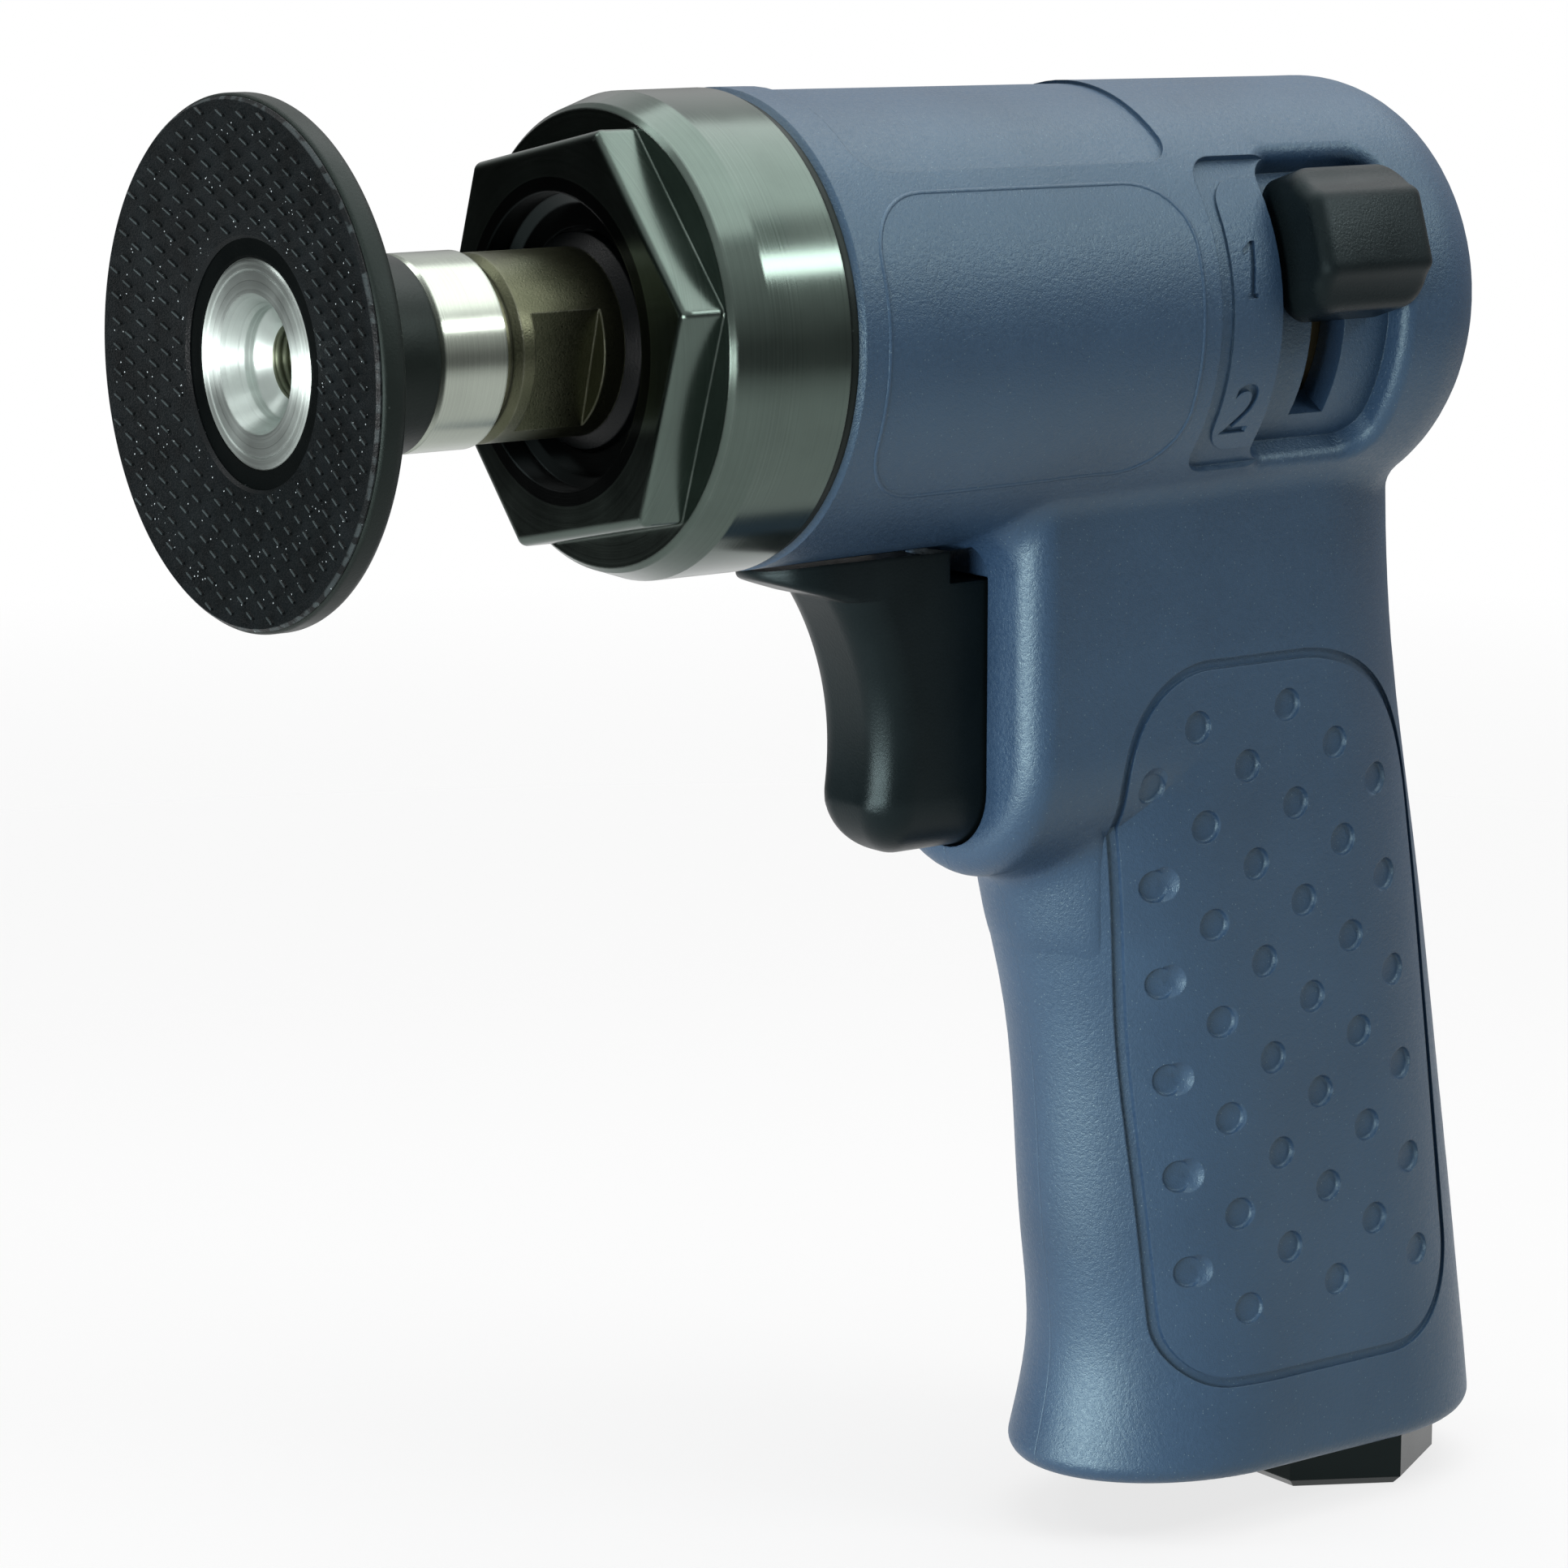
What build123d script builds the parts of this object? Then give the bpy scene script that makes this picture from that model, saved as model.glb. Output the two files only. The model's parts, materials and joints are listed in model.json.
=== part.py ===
# Pistol-grip air sander with a rubber backing pad, modelled piece by piece.
# X runs from the pad face to the back of the tool along the spindle, Z is up, sizes in millimetres.
import os
from math import cos, degrees, hypot, pi, radians, sin, sqrt

from build123d import *

os.makedirs("parts", exist_ok=True)

# Fits
press_gap = 0.02  # screwed, pressed or bonded, on the radius
running_gap = 0.05  # turning or sliding in a bore, on the radius
moving_gap = 0.3  # moulded pieces that pass each other
past = 2.0  # how far a cut runs past the face it opens

# Backing pad
pad_radius = 25.4
facing_thickness = 0.8
facing_bore_radius = 12.0
rim_thickness = 2.5
rim_lip = 0.3  # rubber standing out past the facing
pad_back_length = 7.5
neck_root_radius = 10.4
neck_radius = 9.8
neck_length = 6.6
hub_recess = 2.3
hub_flange_radius = 9.95
hub_flange_length = 4.2
hub_core_radius = 6.9
hub_dish_radius = 8.7
hub_dish_depth = 1.3
hub_step_radius = 6.7
hub_well_radius = 5.4
hub_well_depth = 1.9
hub_bore_radius = 3.6
hub_thread_depth = 5.5  # open thread ahead of the spindle stud
hub_edge = 0.4

# Steel ring and spindle
ring_radius = 9.75
ring_length = 7.6
ring_chamfer = 0.5
shoulder_radius = 8.4
shoulder_length = 1.4
spindle_radius = 9.4
spindle_length = 12.6
spindle_edge = 0.7
flat_start = 2.1
flat_length = 8.0
flat_width = 14.3  # across the wrench flats
flat_turn = 15.0
flange_radius = 10.8
flange_length = 2.6
flange_edge = 0.9
spindle_neck_radius = 7.0
spindle_neck_length = 4.9
socket_radius = 4.5  # screwed on the rotor shaft
socket_depth = 11.0

# Nose nut
hex_inset = 5.0  # flats of the hexagon inside the skirt
hex_length = 4.7
hex_turn = 11.3
hex_edge = 1.0
nut_taper = 1.1  # on the radius
nut_taper_length = 3.9
nut_skirt_length = 14.0
nut_thread_wall = 3.9  # barrel left outside the thread
nut_thread_length = 10.0
nut_edge = 0.5
recess_radius = 14.8
recess_depth = 2.8
recess_step_radius = 13.7
recess_step_depth = 0.6
gland_gap = 0.4
gland_length = 2.6
seal_radius = 12.4
seal_length = 3.4
gasket_thickness = 0.8

# Motor
front_bearing_bore = 5.0
front_bearing_radius = 13.0
front_bearing_width = 8.0
front_ball_radius = 2.4
front_ball_count = 8
rear_bearing_bore = 4.0
rear_bearing_radius = 11.0
rear_bearing_width = 7.0
rear_ball_radius = 2.0
rear_ball_count = 8
bearing_land = 0.55  # part of the ball radius where the rings end
plate_web = 4.6
cylinder_wall = 3.7
cylinder_offset = 1.65
rotor_gap = 0.15  # where the rotor comes closest to the cylinder
rotor_end_gap = 0.1
shaft_relief = 0.5
vane_count = 5
vane_thickness = 2.0
vane_seat = 1.34  # rotor left between its shaft and the vane slots
vane_gap = 0.06
dowel_radius = 1.5
dowel_inset = 2.7  # from the outside of the motor
dowel_seat = 3.0
port_radius = 2.0
port_pitch = 7.0
port_count = 4
exhaust_turn = 50.0  # below the horizontal, where the exhaust ports leave
washer_height = 1.4
washer_sheet = 0.6

# Housing
barrel_radius = 24.5  # at the seam
barrel_taper = 1.3  # on the radius, from the seam to the rear end
barrel_wall = 6.0  # outside the motor
barrel_back = 14.5  # solid behind the regulator
barrel_length = 89.3
barrel_round = 10.0
mouth_edge = 0.6
mouth_depth = 1.0  # thread bore past the end of the nut
grip_length = 129.6  # from the barrel axis to the floor
grip_half_width = 15.0
grip_front_round = 21.0  # depth of the rounded front and rear
grip_rear_round = 20.0
grip_edge = 2.0
junction_round = 4.5
rim_reach = 59.2  # ahead of the rear end of the barrel
rim_drop = 60.5  # below the barrel axis
rim_inset = 0.1  # sides of the rim inside those of the grip
rim_round = 3.5
rim_length = 26.0
panel_depth = 0.5
panel_groove = 1.1
dimple_radius = 1.65
dimple_depth = 0.5
dimple_margin = 4.0  # from the outline of the panel to the middle of a dimple
dimple_foot = 6.0  # from the bottom of the panel to the lowest of them
dimple_reach = 10  # rows and columns tried each way
top_panel_start = 5.0  # behind the seam
top_panel_gap = 1.45  # ahead of the strip beside the selector
top_panel_arc = 94.0
top_panel_depth = 0.4

# Trigger
trigger_half_width = 6.7
trigger_top_gap = 0.4
trigger_tip = 26.0  # ahead of the rim
trigger_heel = 10.8  # behind the rim
tongue_thin = 0.9
tongue_thick = 3.4
tongue_run = 8.0
finger_start = 13.3  # ahead of the rim, front of the finger curve at the toe
finger_hollow = 2.3
toe_round = 6.0
trigger_depth = 31.7
step_height = 2.5
trigger_round = 4.2
lip_round = 0.7  # front edge of the tongue
trigger_travel = 4.5
pocket_gap = 0.35
pocket_back = 2.0

# Throttle
throttle_drop = 15.1  # below the top of the trigger
rod_radius = 2.0
rod_socket = 6.0
bushing_radius = 7.0
bushing_length = 15.0
bushing_chamber_radius = 4.6
bushing_lead = 8.0
seat_length = 2.0
seat_radius = 3.0
valve_radius = 5.2
valve_length = 3.0
valve_stem_radius = 2.4
valve_stem_length = 3.5
spring_wire = 0.5
spring_radius = 3.9
spring_turns = 6
spring_length = 16.0
feed_radius = 2.5

# Selector
selector_start = 35.3  # middle of the knob behind the rim
selector_rest = 18.0  # above the horizontal, position 1
selector_sweep = 40.0
knob_length = 15.5
knob_height = 15.5
knob_rise = 5.8  # out of the rear end of the barrel
knob_corner = 3.0
knob_edge = 1.2
knob_round = 1.5
knob_scoop = 6.5
knob_scoop_depth = 2.2
channel_depth = 2.8  # below the rear end of the barrel
channel_side_gap = 0.9
channel_end = 44.0
channel_corner = 3.5
channel_round = 1.5  # mouth of the channel
strip_length = 9.3
strip_depth = 0.8
strip_border = 2.2  # round the raised field of the numerals
strip_rise = 0.25
stem_length = 4.0
stem_width = 6.0
slot_gap = 0.4
valve_step = 2.0  # bore of the regulator inside that of the motor
valve_ring_wall = 4.5
valve_ring_length = 20.5
valve_ring_gap = 0.4
o_ring_wire = 0.9
o_ring_inset = 3.0

# Inlet and exhaust
inlet_start = 57.0  # middle of the inlet behind the rim
inlet_hex_width = 22.2
inlet_hex_length = 6.0
inlet_hex_turn = 30.0
inlet_edge = 1.0
inlet_thread_radius = 5.6
inlet_thread_depth = 14.0
inlet_spigot_radius = 8.2
inlet_spigot_length = 15.5
inlet_plenum = 3.0  # free height above the bushing
inlet_duct_radius = 3.5
inlet_seal_radius = 10.6
inlet_seal_thickness = 0.8
screen_sheet = 0.5
screen_length = 5.0
screen_bore_radius = 4.6
screen_hole_radius = 0.6
screen_hole_circle = 2.4
screen_hole_count = 7
muffler_start = 31.3  # middle of the muffler behind the rim
muffler_length = 18.0
muffler_half_width = 11.5
muffler_corner = 5.0
muffler_height = 42.0
cover_thickness = 2.5
cover_slot_width = 2.2
cover_slot_length = 12.0
cover_slot_pitch = 4.2
cover_slot_count = 4
exhaust_side = 10.6  # from the middle to each exhaust duct

# Grip sections at even steps from the barrel down: front and rear behind the rim, swell of the half width
grip_sections = [
    (6.5, 58.8, 0.0),
    (6.3, 59.0, 0.0),
    (6.1, 60.2, 0.0),
    (6.0, 62.4, 0.0),
    (8.4, 64.9, 0.0),
    (11.7, 67.1, 0.0),
    (13.2, 69.2, 0.0),
    (14.3, 71.3, 0.0),
    (15.4, 73.1, 0.4),
    (12.8, 74.4, 1.4),
]
# Grip panel: how far down the grip its top and bottom lie, its corners behind the rim, and their rounding
panel_top = 0.287
panel_bottom = 0.919
panel_corners = [(10.8, panel_top), (55.7, panel_top), (64.8, panel_bottom), (21.8, panel_bottom)]
panel_rounds = [12.0, 21.0, 11.0, 9.0]
# Dimples of the grip panel: one of them, and the step to the next row and the next column
dimple_start = (17.1, -50.5)
dimple_row = (1.5, -11.0)
dimple_column = (7.1, -4.9)

# Places along the axis that follow from the sizes
pad_back_x = facing_thickness + rim_thickness
neck_x = pad_back_x + pad_back_length
pad_end_x = neck_x + neck_length
ring_end_x = pad_end_x + ring_length
spindle_x = ring_end_x + shoulder_length
flange_x = spindle_x + spindle_length
flange_end_x = flange_x + flange_length
bearing_x = flange_end_x + spindle_neck_length
well_x = hub_recess + hub_dish_depth + hub_well_depth
stud_x = well_x + hub_thread_depth
front_plate_length = front_bearing_width + plate_web
cylinder_x = bearing_x + front_plate_length
gland_x = bearing_x - seal_length - gland_length
nut_face_x = gland_x - recess_depth - recess_step_depth
skirt_x = nut_face_x + hex_length
gasket_x = skirt_x + nut_skirt_length
seam_x = gasket_x + gasket_thickness
nut_end_x = seam_x + nut_thread_length
barrel_end_x = seam_x + barrel_length
dome_x = barrel_end_x - barrel_round
valve_bore_end_x = barrel_end_x - barrel_back
valve_ring_x = valve_bore_end_x - valve_ring_gap - valve_ring_length
bore_step_x = valve_ring_x - valve_ring_gap
washer_x = bore_step_x - washer_height
rear_plate_length = rear_bearing_width + plate_web
rear_plate_x = washer_x - rear_plate_length
cylinder_length = rear_plate_x - cylinder_x
grip_floor_z = -grip_length
rim_x = barrel_end_x - rim_reach
rim_bottom_z = -rim_drop
rim_half_width = grip_half_width - rim_inset
selector_x = rim_x + selector_start
inlet_x = rim_x + inlet_start
muffler_x = rim_x + muffler_start
exhaust_x = rear_plate_x + rear_plate_length / 2
barrel_rear_radius = barrel_radius - barrel_taper
nut_face_radius = barrel_radius - nut_taper
nut_thread_radius = barrel_radius - nut_thread_wall
motor_radius = barrel_radius - barrel_wall
cylinder_bore_radius = motor_radius - cylinder_wall
rotor_radius = cylinder_bore_radius - cylinder_offset - rotor_gap
slot_floor = front_bearing_bore + vane_seat
vane_height = rotor_radius - vane_gap - slot_floor
dowel_circle = motor_radius - dowel_inset
valve_ring_radius = motor_radius - valve_step
valve_ring_bore = valve_ring_radius - valve_ring_wall
knob_radius = barrel_rear_radius + knob_rise
valve_bore_radius = valve_ring_radius + running_gap
channel_radius = barrel_rear_radius - channel_depth
stem_arc = 90.0 * (stem_width + 2 * slot_gap) / (pi / 2 * valve_ring_radius) / 2
slot_end = selector_rest + stem_arc
slot_start = selector_rest - selector_sweep - stem_arc
trigger_tip_x = rim_x - trigger_tip
trigger_heel_x = rim_x + trigger_heel
finger_x = rim_x - finger_start
saddle_radius = barrel_radius + trigger_top_gap
trigger_top_z = -saddle_radius
trigger_bottom_z = trigger_top_z - trigger_depth
step_x = rim_x - trigger_travel - moving_gap
throttle_z = trigger_top_z - throttle_drop
pocket_x = trigger_heel_x + trigger_travel + pocket_back
chamber_x = pocket_x + bushing_lead
feed_x = chamber_x + feed_radius
seat_x = pocket_x + bushing_length
valve_end_x = seat_x + valve_length
spring_end_x = valve_end_x + spring_length
spigot_top_z = grip_floor_z + inlet_spigot_length
muffler_top_z = grip_floor_z + muffler_height
inlet_hex_z = grip_floor_z - inlet_seal_thickness
inlet_face_z = inlet_hex_z - inlet_hex_length


# Plane through the axis that starts a turned sector at an angle above the left side
def sector_plane(angle):
    a = radians(angle)
    return Plane((0, 0, 0), x_dir=(1, 0, 0), z_dir=(0, -sin(a), -cos(a)))


# Plane square to the radius at an angle above the left side, local Y running up round the barrel
def radial_plane(angle, radius):
    a = radians(angle)
    return Plane((0, -radius * cos(a), radius * sin(a)), x_dir=(1, 0, 0), z_dir=(0, -cos(a), sin(a)))


# Radius of the tapered barrel at a place along it
def barrel_at(x):
    return barrel_radius - (barrel_radius - barrel_rear_radius) * (x - seam_x) / barrel_length


# Cutter that turns round the barrel, with its floor at an even depth below the tapered side
def barrel_cut(start, end, depth, top_angle, arc):
    with BuildPart() as cutter:
        with BuildSketch(sector_plane(top_angle)):
            with BuildLine():
                Polyline(
                    (start, barrel_at(start) - depth),
                    (end, barrel_at(end) - depth),
                    (end, barrel_radius + past),
                    (start, barrel_radius + past),
                    close=True,
                )
            make_face()
        revolve(axis=Axis.X, revolution_arc=arc)
        corners = edges().filter_by(GeomType.LINE).filter_by(lambda edge: edge.bounding_box().size.X < depth)
        fillet(corners, radius=channel_corner)
    return cutter.part


# Sections of the grip in place: height, front, rear and half width
grip_step = grip_length / len(grip_sections)
grip_stations = [
    (-grip_step * (step + 1), rim_x + front, rim_x + rear, grip_half_width + swell)
    for step, (front, rear, swell) in enumerate(grip_sections)
]


# Half width of the grip at a point of its side
def grip_side(x, z):
    for upper, lower in zip(grip_stations, grip_stations[1:]):
        if lower[0] <= z <= upper[0]:
            share = (upper[0] - z) / (upper[0] - lower[0])
            front, rear, half = [a + share * (b - a) for a, b in zip(upper[1:], lower[1:])]
            front_reach = (front + grip_front_round - x) / grip_front_round
            rear_reach = (x - rear + grip_rear_round) / grip_rear_round
            side = half * sqrt(max(0, 1 - max(0, front_reach, rear_reach) ** 2))
            drop = max(0, rim_bottom_z + rim_half_width - z)
            if x < rim_x + rim_length and drop < rim_half_width:
                side = max(side, sqrt(rim_half_width**2 - drop**2))
            return side


# Pad, its hub and its facing
with BuildPart() as pad_facing:
    with BuildSketch(Plane.YZ):
        Circle(pad_radius)
        Circle(facing_bore_radius, mode=Mode.SUBTRACT)
    extrude(amount=facing_thickness)
pad_facing.part.label = "pad_facing"

with BuildPart() as backing_pad:
    with BuildSketch(Plane.XZ):
        with BuildLine():
            Polyline(
                (pad_end_x, neck_radius),
                (pad_end_x, hub_core_radius + press_gap),
                (hub_recess + hub_flange_length, hub_core_radius + press_gap),
                (hub_recess + hub_flange_length, hub_flange_radius + press_gap),
                (hub_recess, hub_flange_radius + press_gap),
                (facing_thickness, facing_bore_radius),
                (facing_thickness, pad_radius),
                (facing_thickness + rim_lip, pad_radius + rim_lip),
                (pad_back_x, pad_radius + rim_lip),
            )
            Spline(
                (pad_back_x, pad_radius + rim_lip),
                (neck_x, neck_root_radius),
                tangents=[(0.55, -1), (1, -0.08)],
            )
            Line((neck_x, neck_root_radius), (pad_end_x, neck_radius))
        make_face()
    revolve(axis=Axis.X)
backing_pad.part.label = "backing_pad"

with BuildPart() as pad_hub:
    with BuildSketch(Plane.XZ):
        with BuildLine():
            Polyline(
                (hub_recess, hub_flange_radius - hub_edge),
                (hub_recess + hub_edge, hub_flange_radius),
                (hub_recess + hub_flange_length, hub_flange_radius),
                (hub_recess + hub_flange_length, hub_core_radius),
                (pad_end_x, hub_core_radius),
                (pad_end_x, hub_bore_radius),
                (well_x, hub_bore_radius),
                (well_x, hub_well_radius),
                (well_x - hub_well_depth, hub_well_radius),
                (well_x - hub_well_depth, hub_step_radius),
                (hub_recess, hub_dish_radius),
                close=True,
            )
        make_face()
    revolve(axis=Axis.X)
pad_hub.part.label = "pad_hub"

with BuildPart() as pad_ring:
    with BuildSketch(Plane.XZ):
        with BuildLine():
            Polyline(
                (pad_end_x, hub_bore_radius),
                (pad_end_x, ring_radius - ring_chamfer),
                (pad_end_x + ring_chamfer, ring_radius),
                (ring_end_x, ring_radius),
                (ring_end_x, hub_bore_radius),
                close=True,
            )
        make_face()
    revolve(axis=Axis.X)
pad_ring.part.label = "pad_ring"

# Spindle with a stud in front for the hub and a threaded socket behind for the rotor
with BuildPart() as spindle:
    with BuildSketch(Plane.XZ):
        with BuildLine():
            Polyline(
                (stud_x, 0),
                (stud_x, hub_bore_radius - press_gap),
                (ring_end_x, hub_bore_radius - press_gap),
                (ring_end_x, shoulder_radius),
                (spindle_x, shoulder_radius),
                (spindle_x, spindle_radius - spindle_edge),
                (spindle_x + spindle_edge, spindle_radius),
                (flange_x, spindle_radius),
                (flange_x + flange_edge, flange_radius),
                (flange_end_x, flange_radius),
                (flange_end_x, spindle_neck_radius),
                (bearing_x, spindle_neck_radius),
                (bearing_x, socket_radius),
                (bearing_x - socket_depth, socket_radius),
                (bearing_x - socket_depth, 0),
                close=True,
            )
        make_face()
    revolve(axis=Axis.X)
    flat_angle = radians(flat_turn)
    flat_plane = Plane(
        (spindle_x + flat_start, 0, 0), x_dir=(0, cos(flat_angle), sin(flat_angle)), z_dir=(1, 0, 0)
    )
    with BuildSketch(flat_plane):
        with Locations((flat_width / 2 + spindle_radius, 0), (-flat_width / 2 - spindle_radius, 0)):
            Rectangle(2 * spindle_radius, 2 * spindle_radius + past)
    extrude(amount=flat_length, mode=Mode.SUBTRACT)
spindle.part.label = "spindle"

# Nose nut: milled hexagon, tapered skirt and a threaded spigot that clamps the motor
with BuildPart() as clamp_nut:
    with BuildSketch(Plane.YZ.offset(nut_face_x)):
        RegularPolygon(barrel_radius - hex_inset, 6, major_radius=False, rotation=-hex_turn)
        fillet(vertices(), radius=hex_edge)
    extrude(amount=hex_length)
    fillet(faces().sort_by(Axis.X)[0].edges(), radius=hex_edge)
    with BuildSketch(Plane.XZ):
        with BuildLine():
            Polyline(
                (skirt_x, 0),
                (skirt_x, nut_face_radius - nut_edge),
                (skirt_x + nut_edge, nut_face_radius),
                (skirt_x + nut_taper_length, barrel_radius),
                (gasket_x - nut_edge, barrel_radius),
                (gasket_x, barrel_radius - nut_edge),
                (gasket_x, nut_thread_radius),
                (nut_end_x, nut_thread_radius),
                (nut_end_x, 0),
                close=True,
            )
        make_face()
    revolve(axis=Axis.X)
    with BuildSketch(Plane.XZ):
        with BuildLine():
            Polyline(
                (nut_face_x - past, 0),
                (nut_face_x - past, recess_radius),
                (nut_face_x + recess_depth, recess_radius),
                (gland_x, recess_step_radius),
                (gland_x, flange_radius + gland_gap),
                (gland_x + gland_length, flange_radius + gland_gap),
                (gland_x + gland_length, seal_radius),
                (bearing_x, seal_radius),
                (bearing_x, motor_radius + running_gap),
                (nut_end_x + past, motor_radius + running_gap),
                (nut_end_x + past, 0),
                close=True,
            )
        make_face()
    revolve(axis=Axis.X, mode=Mode.SUBTRACT)
clamp_nut.part.label = "clamp_nut"

with BuildPart() as dust_seal:
    with BuildSketch(Plane.XZ):
        with BuildLine():
            Polyline(
                (gland_x + gland_length, seal_radius - press_gap),
                (bearing_x, seal_radius - press_gap),
                (bearing_x, front_bearing_radius - seal_length),
                (bearing_x - seal_length / 2, front_bearing_radius - seal_length),
                (bearing_x - seal_length / 2, spindle_neck_radius + running_gap),
                (gland_x + gland_length + gland_gap, spindle_neck_radius + running_gap),
                (gland_x + gland_length, flange_radius),
                close=True,
            )
        make_face()
    revolve(axis=Axis.X)
dust_seal.part.label = "dust_seal"

with BuildPart() as nose_gasket:
    with BuildSketch(Plane.YZ.offset(gasket_x)):
        Circle(barrel_radius - nut_edge)
        Circle(nut_thread_radius + press_gap, mode=Mode.SUBTRACT)
    extrude(amount=gasket_thickness)
nose_gasket.part.label = "nose_gasket"


# Ball bearing: two grooved rings and a set of balls
def ball_bearing(name, start, bore, radius, width, ball, count):
    middle = start + width / 2
    pitch = (bore + radius) / 2
    groove = ball + running_gap
    with BuildPart() as outer_ring:
        with BuildSketch(Plane.XZ):
            with Locations((middle, (radius + pitch + ball * bearing_land) / 2)):
                Rectangle(width, radius - pitch - ball * bearing_land)
            with Locations((middle, pitch)):
                Circle(groove, mode=Mode.SUBTRACT)
        revolve(axis=Axis.X)
    with BuildPart() as inner_ring:
        with BuildSketch(Plane.XZ):
            with Locations((middle, (bore + pitch - ball * bearing_land) / 2)):
                Rectangle(width, pitch - ball * bearing_land - bore)
            with Locations((middle, pitch)):
                Circle(groove, mode=Mode.SUBTRACT)
        revolve(axis=Axis.X)
    with BuildPart() as balls:
        with Locations(Plane.YZ.offset(middle)):
            with PolarLocations(pitch, count):
                Sphere(ball)
    for suffix, piece in (("outer", outer_ring), ("inner", inner_ring), ("balls", balls)):
        piece.part.label = name + "_" + suffix
        export_step(piece.part, "parts/" + name + "_" + suffix + ".step")


rear_bearing_x = washer_x - rear_bearing_width
ball_bearing(
    "front_bearing",
    bearing_x,
    front_bearing_bore,
    front_bearing_radius,
    front_bearing_width,
    front_ball_radius,
    front_ball_count,
)
ball_bearing(
    "rear_bearing",
    rear_bearing_x,
    rear_bearing_bore,
    rear_bearing_radius,
    rear_bearing_width,
    rear_ball_radius,
    rear_ball_count,
)

# Motor: end plates, cylinder with its bore off centre, dowel, rotor and vanes
dowel_end_x = rear_plate_x + dowel_seat
dowel_start_x = cylinder_x - dowel_seat

with BuildPart() as front_end_plate:
    with BuildSketch(Plane.YZ.offset(bearing_x)):
        Circle(motor_radius)
    extrude(amount=front_plate_length)
    with BuildSketch(Plane.YZ.offset(bearing_x)):
        Circle(front_bearing_radius + press_gap)
    extrude(amount=front_bearing_width, mode=Mode.SUBTRACT)
    with BuildSketch(Plane.YZ.offset(bearing_x)):
        Circle(front_bearing_bore + shaft_relief)
    extrude(amount=front_plate_length, mode=Mode.SUBTRACT)
    with BuildSketch(Plane.YZ.offset(dowel_start_x)):
        with Locations((0, -dowel_circle)):
            Circle(dowel_radius + press_gap)
    extrude(amount=dowel_seat, mode=Mode.SUBTRACT)
front_end_plate.part.label = "front_end_plate"

with BuildPart() as rear_end_plate:
    with BuildSketch(Plane.YZ.offset(rear_plate_x)):
        Circle(motor_radius)
        Circle(rear_bearing_bore + shaft_relief, mode=Mode.SUBTRACT)
    extrude(amount=rear_plate_length)
    with BuildSketch(Plane.YZ.offset(rear_bearing_x)):
        Circle(rear_bearing_radius + press_gap)
    extrude(amount=rear_bearing_width, mode=Mode.SUBTRACT)
    with BuildSketch(Plane.YZ.offset(rear_plate_x)):
        with Locations((0, -dowel_circle)):
            Circle(dowel_radius + press_gap)
    extrude(amount=dowel_seat, mode=Mode.SUBTRACT)
    with BuildSketch(Plane.YZ.offset(rear_plate_x)):
        with Locations((0, cylinder_bore_radius + cylinder_offset - 2 * port_radius)):
            SlotOverall(6 * port_radius, 1.5 * port_radius)
    extrude(amount=rear_plate_length, mode=Mode.SUBTRACT)
rear_end_plate.part.label = "rear_end_plate"

with BuildPart() as motor_cylinder:
    with BuildSketch(Plane.YZ.offset(cylinder_x)):
        Circle(motor_radius)
        with Locations((0, cylinder_offset)):
            Circle(cylinder_bore_radius, mode=Mode.SUBTRACT)
        with Locations((0, -dowel_circle)):
            Circle(dowel_radius + press_gap, mode=Mode.SUBTRACT)
    extrude(amount=cylinder_length)
    for side in (-exhaust_turn, 180 + exhaust_turn):
        with BuildSketch(radial_plane(side, 0)):
            with Locations((cylinder_x + cylinder_length / 2, 0)):
                with GridLocations(port_pitch, 1, port_count, 1):
                    Circle(port_radius)
        extrude(amount=motor_radius + past, mode=Mode.SUBTRACT)
motor_cylinder.part.label = "motor_cylinder"

with BuildPart() as motor_dowel:
    with BuildSketch(Plane.YZ.offset(dowel_start_x)):
        with Locations((0, -dowel_circle)):
            Circle(dowel_radius)
    extrude(amount=dowel_end_x - dowel_start_x)
motor_dowel.part.label = "motor_dowel"

rotor_length = cylinder_length - 2 * rotor_end_gap
with BuildPart() as rotor:
    with BuildSketch(Plane.XZ):
        with BuildLine():
            Polyline(
                (bearing_x - socket_depth + spindle_edge, 0),
                (bearing_x - socket_depth + spindle_edge, socket_radius - press_gap),
                (bearing_x, socket_radius - press_gap),
                (bearing_x, front_bearing_bore - press_gap),
                (cylinder_x + rotor_end_gap, front_bearing_bore - press_gap),
                (cylinder_x + rotor_end_gap, rotor_radius),
                (rear_plate_x - rotor_end_gap, rotor_radius),
                (rear_plate_x - rotor_end_gap, rear_bearing_bore - press_gap),
                (washer_x, rear_bearing_bore - press_gap),
                (washer_x, 0),
                close=True,
            )
        make_face()
    revolve(axis=Axis.X)
    for slot in range(vane_count):
        slot_plane = radial_plane(slot * 360 / vane_count, slot_floor)
        with BuildSketch(slot_plane):
            with Locations((cylinder_x + cylinder_length / 2, 0)):
                Rectangle(cylinder_length, vane_thickness + 2 * vane_gap)
        extrude(amount=vane_height + past, mode=Mode.SUBTRACT)
rotor.part.label = "rotor"

for slot in range(vane_count):
    with BuildPart() as vane:
        with BuildSketch(radial_plane(slot * 360 / vane_count, slot_floor + vane_gap)):
            with Locations((cylinder_x + cylinder_length / 2, 0)):
                Rectangle(rotor_length, vane_thickness)
        extrude(amount=vane_height - vane_gap)
    vane.part.label = "vane_" + str(slot + 1)
    export_step(vane.part, "parts/vane_" + str(slot + 1) + ".step")

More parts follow.
